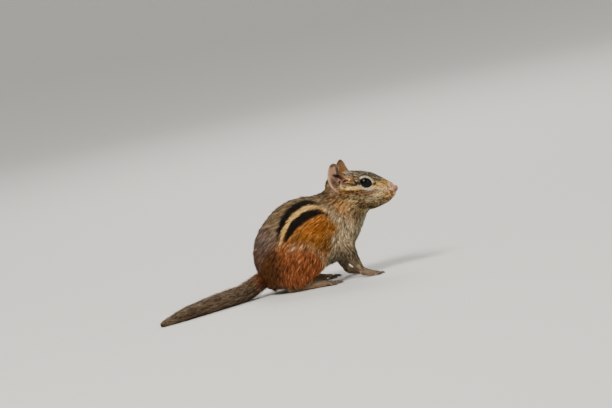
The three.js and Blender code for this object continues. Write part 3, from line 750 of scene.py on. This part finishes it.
# Points, colours and normals of tufts with three sides and one bend
def tufts(root, normal, way, length, half, lift, colour, tipShare):
    side = unit(np.cross(normal, way))
    start = unit(way * np.cos(lift)[:, None] + normal * np.sin(lift)[:, None])
    end = unit(start - normal * tuftForm["bend"])
    base = root - normal * tuftForm["sunk"]
    middle = root + start * (length * 0.5)[:, None]
    tip = middle + end * (length * 0.5)[:, None]
    corners = []
    for centre, size in ((base, 0.8), (middle, 1.0)):
        for angle in tuftForm["sides"]:
            corners.append(centre + side * (half * size * math.cos(angle))[:, None]
                           + normal * (half * size * tuftForm["flat"] * math.sin(angle))[:, None])
    points = np.stack(corners + [tip], 1)
    points[..., 2] = np.maximum(points[..., 2], 0.03)
    shade = np.stack([colour * 0.35] * 3 + [colour] * 3 + [colour * tipShare[:, None]], 1)
    outward = unit(points - np.stack([base] * 3 + [middle] * 3 + [middle], 1))
    return points, shade, unit(outward * 0.75 + normal[:, None] * 0.6)


bodyTuft = {
    "faces": np.array([(0, 1, 4), (0, 4, 3), (1, 2, 5), (1, 5, 4), (2, 0, 3), (2, 3, 5),
                       (3, 4, 6), (4, 5, 6), (5, 3, 6)]),
    "plan": np.array([(-1, 0), (0, 0), (1, 0), (-1, 0.5), (0, 0.5), (1, 0.5), (0, 1)]),
}
tailTuft = {
    "faces": np.array([(0, 1, 4), (0, 4, 3), (1, 2, 5), (1, 5, 4), (2, 0, 3), (2, 3, 5),
                       (3, 4, 7), (3, 7, 6), (4, 5, 8), (4, 8, 7), (5, 3, 6), (5, 6, 8),
                       (6, 7, 9), (7, 8, 9), (8, 6, 9)]),
    "plan": np.array([(-1, 0), (0, 0), (1, 0), (-1, 0.33), (0, 0.33), (1, 0.33),
                      (-1, 0.66), (0, 0.66), (1, 0.66), (0, 1)]),
}


def finishPiece(piece, material, slot, *nodes):
    piece.data.materials.append(material)
    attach(piece, "root")
    if nodes:
        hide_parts(*nodes)


def coatPiece(name, slot, form, points, shade, normals, roots):
    count, corners = points.shape[:2]
    faces = (form["faces"][None] + np.arange(count)[:, None, None] * corners).reshape(-1, 3)
    piece = makeMesh(name, points.reshape(-1, 3), faces)
    paint(piece, np.clip(shade, 0, 1).reshape(-1, 3))
    layer = piece.data.uv_layers.new(name="OFBake")
    patch = 0.0015 * form["plan"][None] + np.array([0, -0.00075])
    places = (np.clip(roots, 0.003, 0.996)[:, None] + patch).reshape(-1, 2)
    layer.data.foreach_set("uv", places[faces.ravel()].astype(np.float32).ravel())
    piece.data.normals_split_custom_set_from_vertices(normals.reshape(-1, 3).tolist())
    finishPiece(piece, materials["coat hair"], slot)


# Materials: a tone is given only where the piece has no colours painted on
looks = {
    "coat hair": {"rough": 0.62, "grain": 900, "spread": 0.2, "specular": 0.15},
    "skin under the coat": {"rough": 0.55, "grain": 2600, "spread": 0.2, "specular": 0.15,
                            "relief": 0.0002, "strength": 0.6},
    "nose skin": {"rough": 0.42, "grain": 4200, "spread": 0.2, "specular": 0.4,
                  "relief": 0.00012, "strength": 0.6},
    "eye, wet and black": {"tone": srgb(8, 7, 6), "rough": 0.06, "grain": 2600, "spread": 0.05,
                           "specular": 0.14},
    "lid margin": {"tone": srgb(38, 27, 22), "rough": 0.4, "grain": 2600, "spread": 0.15, "specular": 0.5,
                   "relief": 0.0001, "strength": 0.7},
    "claw horn": {"tone": srgb(74, 56, 44), "rough": 0.3, "grain": 2600, "spread": 0.15, "specular": 0.5,
                  "coat": 0.3},
    "whisker": {"tone": srgb(216, 204, 184), "rough": 0.4, "grain": 2600, "spread": 0.15, "specular": 0.5},
}
toneForm = {"fineDetail": 3, "broadScale": 170, "broadDetail": 2, "contrast": 2.2, "roughSpread": 0.12}


# Colour of a coat or skin broken up by soft patches and fine grain, with its roughness and relief
def makeFurTone():
    group = bpy.data.node_groups.new("furTone", "ShaderNodeTree")
    nodes, links = group.nodes, group.links

    def calculated(operation, *values):
        node = nodes.new("ShaderNodeMath")
        node.operation = operation
        for k, value in enumerate(values):
            if isinstance(value, float):
                node.inputs[k].default_value = value
            else:
                links.new(value, node.inputs[k])
        return node.outputs[0]

    group.interface.new_socket("Colour", in_out="INPUT", socket_type="NodeSocketColor")
    for label, value in (("Grain Size", 900), ("Spread", 0.25), ("Roughness", 0.6)):
        socket = group.interface.new_socket(label, in_out="INPUT", socket_type="NodeSocketFloat")
        socket.default_value = value
    for label, form in (("Colour", "Color"), ("Roughness", "Float"), ("Relief", "Float")):
        group.interface.new_socket(label, in_out="OUTPUT", socket_type="NodeSocket" + form)
    given, made = nodes.new("NodeGroupInput"), nodes.new("NodeGroupOutput")
    place = nodes.new("ShaderNodeTexCoord")
    fine, broad = nodes.new("ShaderNodeTexNoise"), nodes.new("ShaderNodeTexNoise")
    fine.inputs["Detail"].default_value = toneForm["fineDetail"]
    broad.inputs["Detail"].default_value = toneForm["broadDetail"]
    broad.inputs["Scale"].default_value = toneForm["broadScale"]
    links.new(given.outputs["Grain Size"], fine.inputs["Scale"])
    for noise in (fine, broad):
        links.new(place.outputs["Object"], noise.inputs["Vector"])
    centred = calculated("SUBTRACT", calculated("ADD", fine.outputs["Fac"], broad.outputs["Fac"]), 1.0)
    spread = calculated("MULTIPLY", given.outputs["Spread"], toneForm["contrast"])
    tinted = nodes.new("ShaderNodeVectorMath")
    tinted.operation = "SCALE"
    links.new(given.outputs["Colour"], tinted.inputs[0])
    links.new(calculated("MULTIPLY_ADD", centred, spread, 1.0), tinted.inputs["Scale"])
    links.new(tinted.outputs[0], made.inputs["Colour"])
    rough = calculated("MULTIPLY_ADD", centred, toneForm["roughSpread"], given.outputs["Roughness"])
    links.new(rough, made.inputs["Roughness"])
    links.new(fine.outputs["Fac"], made.inputs["Relief"])
    return group


def makeMaterial(name, look):
    material = bpy.data.materials.new(name)
    material.use_nodes = True
    nodes, links = material.node_tree.nodes, material.node_tree.links
    shader = nodes["Principled BSDF"]
    shader.inputs["Specular IOR Level"].default_value = look["specular"]
    shader.inputs["Coat Weight"].default_value = look.get("coat", 0)
    shader.inputs["Coat Roughness"].default_value = 0.03
    broken = nodes.new("ShaderNodeGroup")
    broken.node_tree = furTone
    broken.inputs["Grain Size"].default_value = look["grain"]
    broken.inputs["Spread"].default_value = look["spread"]
    broken.inputs["Roughness"].default_value = look["rough"]
    if "tone" in look:
        broken.inputs["Colour"].default_value = (*look["tone"], 1)
    else:
        painted = nodes.new("ShaderNodeAttribute")
        painted.attribute_name = "coatColour"
        links.new(painted.outputs["Color"], broken.inputs["Colour"])
    links.new(broken.outputs["Colour"], shader.inputs["Base Color"])
    links.new(broken.outputs["Roughness"], shader.inputs["Roughness"])
    if "relief" in look:
        raised = nodes.new("ShaderNodeBump")
        raised.inputs["Distance"].default_value = look["relief"]
        raised.inputs["Strength"].default_value = look["strength"]
        links.new(broken.outputs["Relief"], raised.inputs["Height"])
        links.new(raised.outputs["Normal"], shader.inputs["Normal"])
    return material


furTone = makeFurTone()
materials = {name: makeMaterial(name, look) for name, look in looks.items()}

skin = makeMesh("skin", skinPoints, skinFaces)
paint(skin, skinColour)
finishPiece(skin, materials["skin under the coat"], "body_coat", *flesh)
print("skin made:", len(skinFaces), "faces")


# Roots on the skin, each with its normal, the lie of its hair and its share of every node
def coatRoots():
    face, weights = scatter(coatValue("tufts", near) * (1 - near["tail"]) * fewer)
    root, normal = atRoots(skinPoints, face, weights), unit(atRoots(skinNormals, face, weights))
    clear = ~keepClear(root, normal)
    face, weights, root, normal = face[clear], weights[clear], root[clear], normal[clear]
    share = {n: atRoots(near[n], face, weights) for n in near}
    softShare = {n: atRoots(soft[n], face, weights) for n in near}
    return root, normal, unit(atRoots(flow, face, weights)), share, softShare


# Length, half width and lift of each tuft, less towards the muzzle, the eyes and the hollow of the ears
def tuftSizes():
    q = toHead(root)
    front = share["head"] * smooth(2, 20, q[:, 0])
    eyeGap = np.min([np.linalg.norm(q - handed(eyeForm["place"], h), axis=1) for h in sides.values()], 0)
    q[:, 1] = np.abs(q[:, 1])
    cup = np.linalg.norm((q - earCup["centre"]) / earCup["radii"], axis=1)
    length = coatValue("length", share) * (1 - 0.48 * front)
    length = length * (0.35 + 0.65 * smooth(4.2, 7.0, eyeGap)) * (0.3 + 0.7 * smooth(0.8, 1.3, cup))
    half = coatValue("half", share) * (1 - 0.2 * front) * (0.75 + 0.5 * rng.random(count)) * wider
    return length, half, np.radians(coatValue("lift", share)), front


# Neighbouring tufts draw together into clumps, which share their turn, lift and tone
def makeClumps():
    heads = np.nonzero(rng.random(count) < coatValue("heads", share))[0]
    tree = KDTree(len(heads))
    for k, point in enumerate(root[heads]):
        tree.insert(point, k)
    tree.balance()
    return heads, np.array([tree.find(point)[1] for point in root])


def combed(way, length, lift, front):
    toward = root[heads][clump] - root
    gap = np.linalg.norm(toward, axis=1, keepdims=True)
    toward *= np.minimum(1, clumpForm["reach"] / np.maximum(gap, 1e-6))
    length = length * (0.86 + 0.28 * rng.random(len(heads)))[clump] * (0.86 + 0.28 * rng.random(count))
    turned = wobble(root, 3.2, 21) * 0.14 + rng.normal(size=len(heads))[clump] * clumpForm["turn"]
    turned = turned + rng.normal(size=count) * 0.05
    way = unit(way + np.cross(normal, way) * turned[:, None] + toward * (clumpForm["pull"] / length)[:, None])
    way = unit(way - normal * (way * normal).sum(1, keepdims=True))
    lift = lift * (0.8 + 0.4 * rng.random(count))
    lift = lift + rng.normal(size=len(heads))[clump] * clumpForm["rise"] * (1 - 0.6 * front)
    return way, length, np.maximum(lift, 0.08)


# Agouti: whole clumps run dark or light, and single tufts are tipped black or pale
def agouti(colour):
    thin = sum(share[n] for n in share if kind(n) in ("hind_foot", "forepaw", "ear"))
    grey = (1 - 0.8 * np.clip(thin, 0, 1)) * (1 - 0.6 * smooth(0.36, 0.6, colour.mean(1)))
    chance = rng.random(len(heads))
    tone = np.where(chance > 1 - clumpForm["light"], clumpForm["lightTone"], 1.0)
    tone = np.where(chance < clumpForm["dark"], clumpForm["darkTone"], tone)
    vivid = 1 - colour.min(1) / np.maximum(colour.max(1), 1e-6)
    ashen = (np.abs(tone - 1) > 0.1)[clump] * 0.45 * grey * (1 - smooth(0.6, 0.95, vivid) * 0.7)
    grey = grey * (1 + 0.45 * share["head"])
    tone = (tone * np.exp(rng.normal(size=len(heads)) * 0.18))[clump] * np.exp(rng.normal(size=count) * 0.34)
    colour = over(colour, tones["ash"] / tones["ash"].mean() * colour.mean(1, keepdims=True), ashen)
    colour = colour * np.maximum(0.12, 1 + (tone - 1) * grey)[:, None]
    chance = rng.random(count)
    tipped = np.where(chance < 0.3, 1.5, np.where(chance > 0.78, 0.45, 1.05))
    return colour, np.maximum(0.2, 1 + (tipped - 1) * grey)


root, normal, way, share, softShare = coatRoots()
count = len(root)
length, half, lift, front = tuftSizes()
heads, clump = makeClumps()
way, length, lift = combed(way, length, lift, front)
seen = root + way * (length * 0.7)[:, None]  # where most of a tuft shows; it takes the marking of that place
colour, tipShare = agouti(markings(seen, normal, softShare))
print("coat roots:", count)
points, shade, normals = tufts(root, normal, way, length, half, lift, colour, tipShare)
places, part = unwrap(root, share)
order = np.lexsort((places[:, 1], part))
groups = np.array_split(order, max(1, math.ceil(count * len(bodyTuft["faces"]) / tuftForm["mostFaces"])))
for k, group in enumerate(groups):
    values = (values[group] for values in (points, shade, normals, places))
    coatPiece(f"coat_{k + 1}", "body_coat", bodyTuft, *values)
print("coat pieces:", len(groups))

# Tail: long hair from the core, brushed back along it, dark with frosted tips
tailForm = {"count": 23000, "pieces": 2, "length": 15.0, "halfWidth": 0.13, "span": 86, "bunches": 26,
            "stray": (0.15, 0.28, 0.5, 0.85), "frosted": 0.44}


def tailHairs(count):
    t = 0.02 + 0.95 * rng.random(count) ** 0.92
    ahead, behind = (rowsAt(tailRows, np.clip(t + step, 0, 1))[:, :3] for step in (0.02, -0.02))
    along = unit(ahead - behind)
    side = unit(np.array([0, 1.0, 0]) - along * along[:, 1:2])
    up = np.cross(side, along)
    bunch = np.round(rng.random(count) * tailForm["bunches"]) / tailForm["bunches"] + 0.3 * np.sin(t * 40)
    angle = (bunch + rng.normal(size=count) * 0.025) * 2 * math.pi
    core = skinForm["tailCore"] * 0.85 * rng.random(count) ** 0.5
    cosine, sine = np.cos(angle), np.sin(angle)
    outward = side * cosine[:, None] + up * sine[:, None]
    reach = tailForm["length"] * (0.6 + 0.6 * rng.random(count))
    reach = reach * (1 - 0.35 * smooth(0.7, 1, t)) * (0.5 + 0.5 * smooth(0, 0.2, t))
    fullness = 0.62 + 0.47 * rng.random(count) ** 0.8 + 0.14 * (rng.random(count) > 0.92)
    end = 0.97 + 0.035 * rng.random(count)
    lines = []
    for s in np.linspace(0, 1, 4):
        far = np.clip(t + s * reach / tailForm["span"], 0, end)
        here = rowsAt(tailRows, np.clip(far, 0, 1))
        out = (core + (1 - core) * math.sin(s * math.pi / 2) ** 0.85) * fullness
        on = here[:, :3] + along * (np.maximum(far - 1, 0) * tailForm["span"])[:, None]
        on = on + side * (cosine * here[:, 3] * out)[:, None]
        lines.append(on + up * (sine * here[:, 4] * out)[:, None])
    stray = rng.normal(size=(count, 4, 3)) * np.array(tailForm["stray"])[:, None]
    lines = np.stack(lines, 1) + stray * (1 - 0.65 * smooth(0.6, 1, t))[:, None, None]
    lines[..., 2] = np.maximum(lines[..., 2], 0.15)
    return t, lines, outward, along


def makeTailPiece(name, count):
    t, lines, outward, along = tailHairs(count)
    tint = tailColour(lines[:, 0]) * np.exp(rng.normal(size=count) * 0.22)[:, None]
    chance = rng.random(count)
    frost = tones["tailFrost"] * (0.7 + 0.5 * rng.random(count))[:, None]
    tip = np.where(((chance < tailForm["frosted"]) & (t > 0.06))[:, None], frost, tint)
    dark = np.where(((chance > 0.5) | (chance < 0.25))[:, None], tones["black"] * 1.5, tint)
    points, normals, colours = [], [], []
    for k, (size, shade) in enumerate(((0.8, tint * 0.5), (1.0, tint), (0.75, dark))):
        lineWay = unit(lines[:, k + 1] - lines[:, k])
        lineSide = unit(np.cross(outward, lineWay))
        lineUp = np.cross(lineWay, lineSide)
        for angle in tuftForm["sides"]:
            spoke = lineSide * math.cos(angle) + lineUp * math.sin(angle)
            points.append(lines[:, k] + spoke * tailForm["halfWidth"] * size * wider)
            normals.append(unit(spoke * 0.7 + outward * 0.6))
            colours.append(shade)
    points = np.stack(points + [lines[:, 3]], 1)
    points[..., 2] = np.maximum(points[..., 2], 0.03)
    normals = np.stack(normals + [unit(outward + along * 0.3)], 1)
    roots = np.stack([np.arctan2(outward[:, 2], outward[:, 1]) / (2 * math.pi) + 0.5, t], 1)
    coatPiece(name, "tail_coat", tailTuft, points, np.stack(colours + [tip], 1), normals, roots)


for k in range(tailForm["pieces"]):
    makeTailPiece(f"coat_tail_{k + 1}", tailForm["count"] // tailForm["pieces"] // (1))
print("tail brushed:", tailForm["count"], "hairs")


# Small hard and bare pieces
def grid(columns, rows):
    i, k = np.meshgrid(np.arange(rows - 1), np.arange(columns), indexing="ij")
    a, b = (i * columns + k).ravel(), (i * columns + (k + 1) % columns).ravel()
    return np.concatenate([np.stack([a, b, b + columns], 1), np.stack([a, b + columns, a + columns], 1)])


# Ball of radius 1 with its poles along x
def ball(columns, rows):
    turn = np.linspace(0, 2 * math.pi, columns, endpoint=False)
    rise = np.linspace(0.001, math.pi - 0.001, rows)[:, None]
    x, y, z = np.cos(rise) + 0 * turn, np.sin(rise) * np.cos(turn), np.sin(rise) * np.sin(turn)
    return np.stack([x, y, z], -1).reshape(-1, 3), grid(columns, rows)


# Round tube along a line, closed with a point at each end or run round to its start
def wire(centres, radii, ring, hint=(0, 0, 1.0), loop=False):
    along = unit(np.roll(centres, -1, 0) - np.roll(centres, 1, 0) if loop else np.gradient(centres, axis=0))
    side = unit(np.cross(along, np.array(hint)))
    wide, tall = np.broadcast_to(np.asarray(radii, float).T, (2, len(centres)))
    points = rings(centres, side, np.cross(side, along), wide, tall, ring)
    faces = grid(ring, len(centres))
    last = len(points) - ring
    k = np.arange(ring)
    following = (k + 1) % ring
    if loop:
        a, b = last + k, last + following
        return points, np.concatenate([faces, np.stack([a, b, following], 1), np.stack([a, following, k], 1)])
    first = np.full(ring, len(points))
    caps = [np.stack([first, following, k], 1), np.stack([first + 1, last + k, last + following], 1)]
    return np.concatenate([points, centres[[0, -1]]]), np.concatenate([faces, *caps])


rimForm = {"points": 60, "thick": 0.2, "inset": 0.05, "raised": 0.12}


def makeEyes():
    for name, hand in sides.items():
        along, up, facing = eyeAxes(hand)
        middle = handed(eyeForm["place"], hand)
        local, faces = ball(64, 40)
        points = fromHead(middle) + (local * eyeForm["radius"]) @ (np.stack([facing, along, up]) @ headTurn.T)
        piece = makeMesh(f"eyeball_{name}", points, faces if hand > 0 else faces[:, ::-1])
        finishPiece(piece, materials["eye, wet and black"], "eye", f"eye_{name}")
        long, high = eyeForm["opening"]
        turn = np.linspace(0, 2 * math.pi, rimForm["points"], endpoint=False)
        x = (long - rimForm["inset"]) * np.cos(turn)
        y = (high - rimForm["inset"]) * np.sin(turn) * np.abs(np.sin(turn)) ** 0.25
        out = np.sqrt((eyeForm["radius"] + rimForm["raised"]) ** 2 - x**2 - y**2)
        line = fromHead(middle + x[:, None] * along + y[:, None] * up + out[:, None] * facing)
        rim = wire(line, np.full(len(line), rimForm["thick"]), 10, hint=headTurn @ facing, loop=True)
        finishPiece(makeMesh(f"lid_rim_{name}", *rim), materials["lid margin"], "face_coat")


noseForm = {"place": (28.3, 0, 4.3), "size": (1.9, 2.6, 2.15), "depth": 0.9, "cleft": 0.28,
            "nostril": (1.75, -0.45), "nostrilSize": (0.62, 0.85)}


def makeNose():
    local, faces = ball(96, 72)
    x, y, z = local.T
    shaped = local * np.array(noseForm["size"])
    (wide, low), (broad, tall) = noseForm["nostril"], noseForm["nostrilSize"]
    out, up = np.abs(shaped[:, 1]) - wide, shaped[:, 2] - low
    slit = np.hypot((out - 0.25 * up) / broad, up / tall)
    shaped -= local * (noseForm["depth"] * np.exp(-slit**2) * (x > 0))[:, None]
    shaped -= local * (noseForm["cleft"] * bump(y, 0, 0.09) * (z < 0.25) * (x > 0))[:, None]
    shaped[:, 2] += 0.1 * bump(np.abs(y), 0.55, 0.3) * x
    piece = makeMesh("nose", fromHead(shaped + np.array(noseForm["place"])), faces)
    paint(piece, layered(local, "nose", [
        ("black", np.exp(-(slit / 1.1) ** 4) * (x > 0) * 0.95),
        ("dark", bump(y, 0, 0.12) * (z < 0.1) * 0.6),
        # painted shade on the underside of the nose
        ("dark", 1 - smooth(-0.9, -0.4, z)),
    ]))
    finishPiece(piece, materials["nose skin"], "ear_skin")


clawForm = {
    "hind_foot": {"turns": (-0.2, -0.06, 0.06, 0.18, 0.34), "lengths": (6.2, 7.4, 7.8, 7.2, 5.6),
                  "thick": 0.92, "apart": (-2.5, -1.35, 0, 1.4, 2.55),
                  "roots": {"right": (3.6, 15.7), "left": (3.6, 15.7)}},
    "forepaw": {"turns": (-0.24, -0.05, 0.12, 0.34), "lengths": (4.2, 5.2, 5.2, 4.2),
                "thick": 0.8, "apart": (-2.25, -0.75, 0.75, 2.25),
                "roots": {"right": (32.6, 12.5), "left": (24.4, 12.5)}},
}
clawRows = np.array([  # share of the way past the toe's end, height and thickness, from root to point
    (-0.35, 1.15, 0.4), (-0.05, 1.38, 0.5), (0.25, 1.4, 0.47), (0.5, 1.2, 0.4),
    (0.75, 0.88, 0.3), (0.95, 0.52, 0.17), (1.06, 0.32, 0.05),
])


def makeClaws():
    share, height, size = clawRows.T
    for foot, form in clawForm.items():
        for name, hand in sides.items():
            parts = []
            rootX, rootY = form["roots"][name]
            middle = (len(form["turns"]) - 1) / 2
            for k, (turn, length) in enumerate(zip(form["turns"], form["lengths"])):
                reach = length + share * length * 0.36
                x = rootX - abs(k - middle) * 0.5 + reach * math.cos(turn)
                y = (rootY + form["apart"][k] + reach * math.sin(turn)) * hand
                line = np.stack([x, y, form["thick"] * height], 1)
                parts.append(wire(line, np.stack([size * 0.85, size * 1.2], 1), 10))
            piece = makeMesh(f"claws_{foot}_{name}", *together(parts))
            finishPiece(piece, materials["claw horn"], "foot_skin")


whiskerForm = {"count": 15, "length": (9, 19), "thick": 0.075, "sag": (-0.55, -0.22, -0.28)}
browForm = {"count": 3, "length": 8, "thick": 0.06, "sag": (-0.5, 0, 0)}


def whisker(form, start, out, length, steps, hand):
    s = np.linspace(0, 1, steps)[:, None]
    line = handed(start, hand) + unit(handed(out, hand)) * s * length
    line = line + handed(form["sag"], hand) * length * s**2
    return wire(fromHead(line), form["thick"] * (1 - 0.85 * s[:, 0]), 5)


def makeWhiskers():
    parts = []
    for hand in sides.values():
        for k in range(whiskerForm["count"]):
            row, column = k % 4, k // 4
            start = (23.6 - column * 1.25, 3.3 + 0.35 * column, 3.2 - row * 0.85)
            out = (-0.25 - 0.12 * column + 0.15 * rng.random(), 1.0, 0.25 - 0.22 * row + 0.2 * rng.random())
            length = rng.uniform(*whiskerForm["length"]) * (0.75 + 0.12 * column)
            parts.append(whisker(whiskerForm, start, out, length, 9, hand))
        for k in range(browForm["count"]):
            start, out = (12.5 - 1.6 * k, 5.2, 10.6), (-0.1 - 0.2 * k, 0.75, 0.8)
            parts.append(whisker(browForm, start, out, browForm["length"], 7, hand))
    finishPiece(makeMesh("whiskers", *together(parts)), materials["whisker"], "face_coat")


makeEyes()
makeNose()
makeClaws()
makeWhiskers()
print("eyes, nose, claws and whiskers placed")


# Floor that curves up far away, and soft lights
floorForm = {"flat": 1.5, "rim": 3.4, "height": 1.9, "tone": (0.78, 0.77, 0.74), "rough": 0.85}


def makeFloor():
    out = np.concatenate([[0.02, 0.3, 0.8], np.linspace(floorForm["flat"], floorForm["rim"], 24)])
    turn = np.linspace(0, 2 * math.pi, 96, endpoint=False)
    far = np.clip((out - floorForm["flat"]) / (floorForm["rim"] - floorForm["flat"]), 0, 1)[:, None]
    out = out[:, None]
    z = floorForm["height"] * far**2 + 0 * turn
    points = np.stack([out * np.cos(turn), out * np.sin(turn), z], -1).reshape(-1, 3)
    points = np.concatenate([points, [[0, 0, 0]]]) * 1000 - moved
    fan = np.array([(len(points) - 1, k, (k + 1) % 96) for k in range(96)])
    floor = makeMesh("floor", points, np.concatenate([grid(96, len(out))[:, ::-1], fan]))
    material = bpy.data.materials.new("pale floor")
    material.use_nodes = True
    shader = material.node_tree.nodes["Principled BSDF"]
    shader.inputs["Base Color"].default_value = (*floorForm["tone"], 1)
    shader.inputs["Roughness"].default_value = floorForm["rough"]
    floor.data.materials.append(material)


lamps = {  # place, width, power, tint
    "key": ((-0.5, -0.8, 1.3), 0.6, 26, (1.0, 0.95, 0.87)),
    "fill": ((0.95, -0.9, 0.55), 1.0, 4, (1.0, 0.98, 0.95)),
    "rim": ((0.1, 1.0, 0.95), 0.8, 10, (1.0, 0.97, 0.92)),
}
roomForm = {"tint": (0.96, 0.98, 1.0), "strength": 0.36, "aim": (0, 0, 0.035)}


def makeLights():
    for name, (place, width, power, tint) in lamps.items():
        data = bpy.data.lights.new(name, "AREA")
        data.shape = "DISK"
        data.size = width
        data.energy = power
        data.color = tint
        lamp = bpy.data.objects.new(name, data)
        lamp.location = place
        lamp.rotation_euler = (Vector(roomForm["aim"]) - Vector(place)).to_track_quat("-Z", "Y").to_euler()
        bpy.context.collection.objects.link(lamp)
    world = bpy.data.worlds.new("soft room")
    world.use_nodes = True
    background = world.node_tree.nodes["Background"]
    background.inputs["Color"].default_value = (*roomForm["tint"], 1)
    background.inputs["Strength"].default_value = roomForm["strength"]
    bpy.context.scene.world = world


makeFloor()
makeLights()
print("floor and lights set")
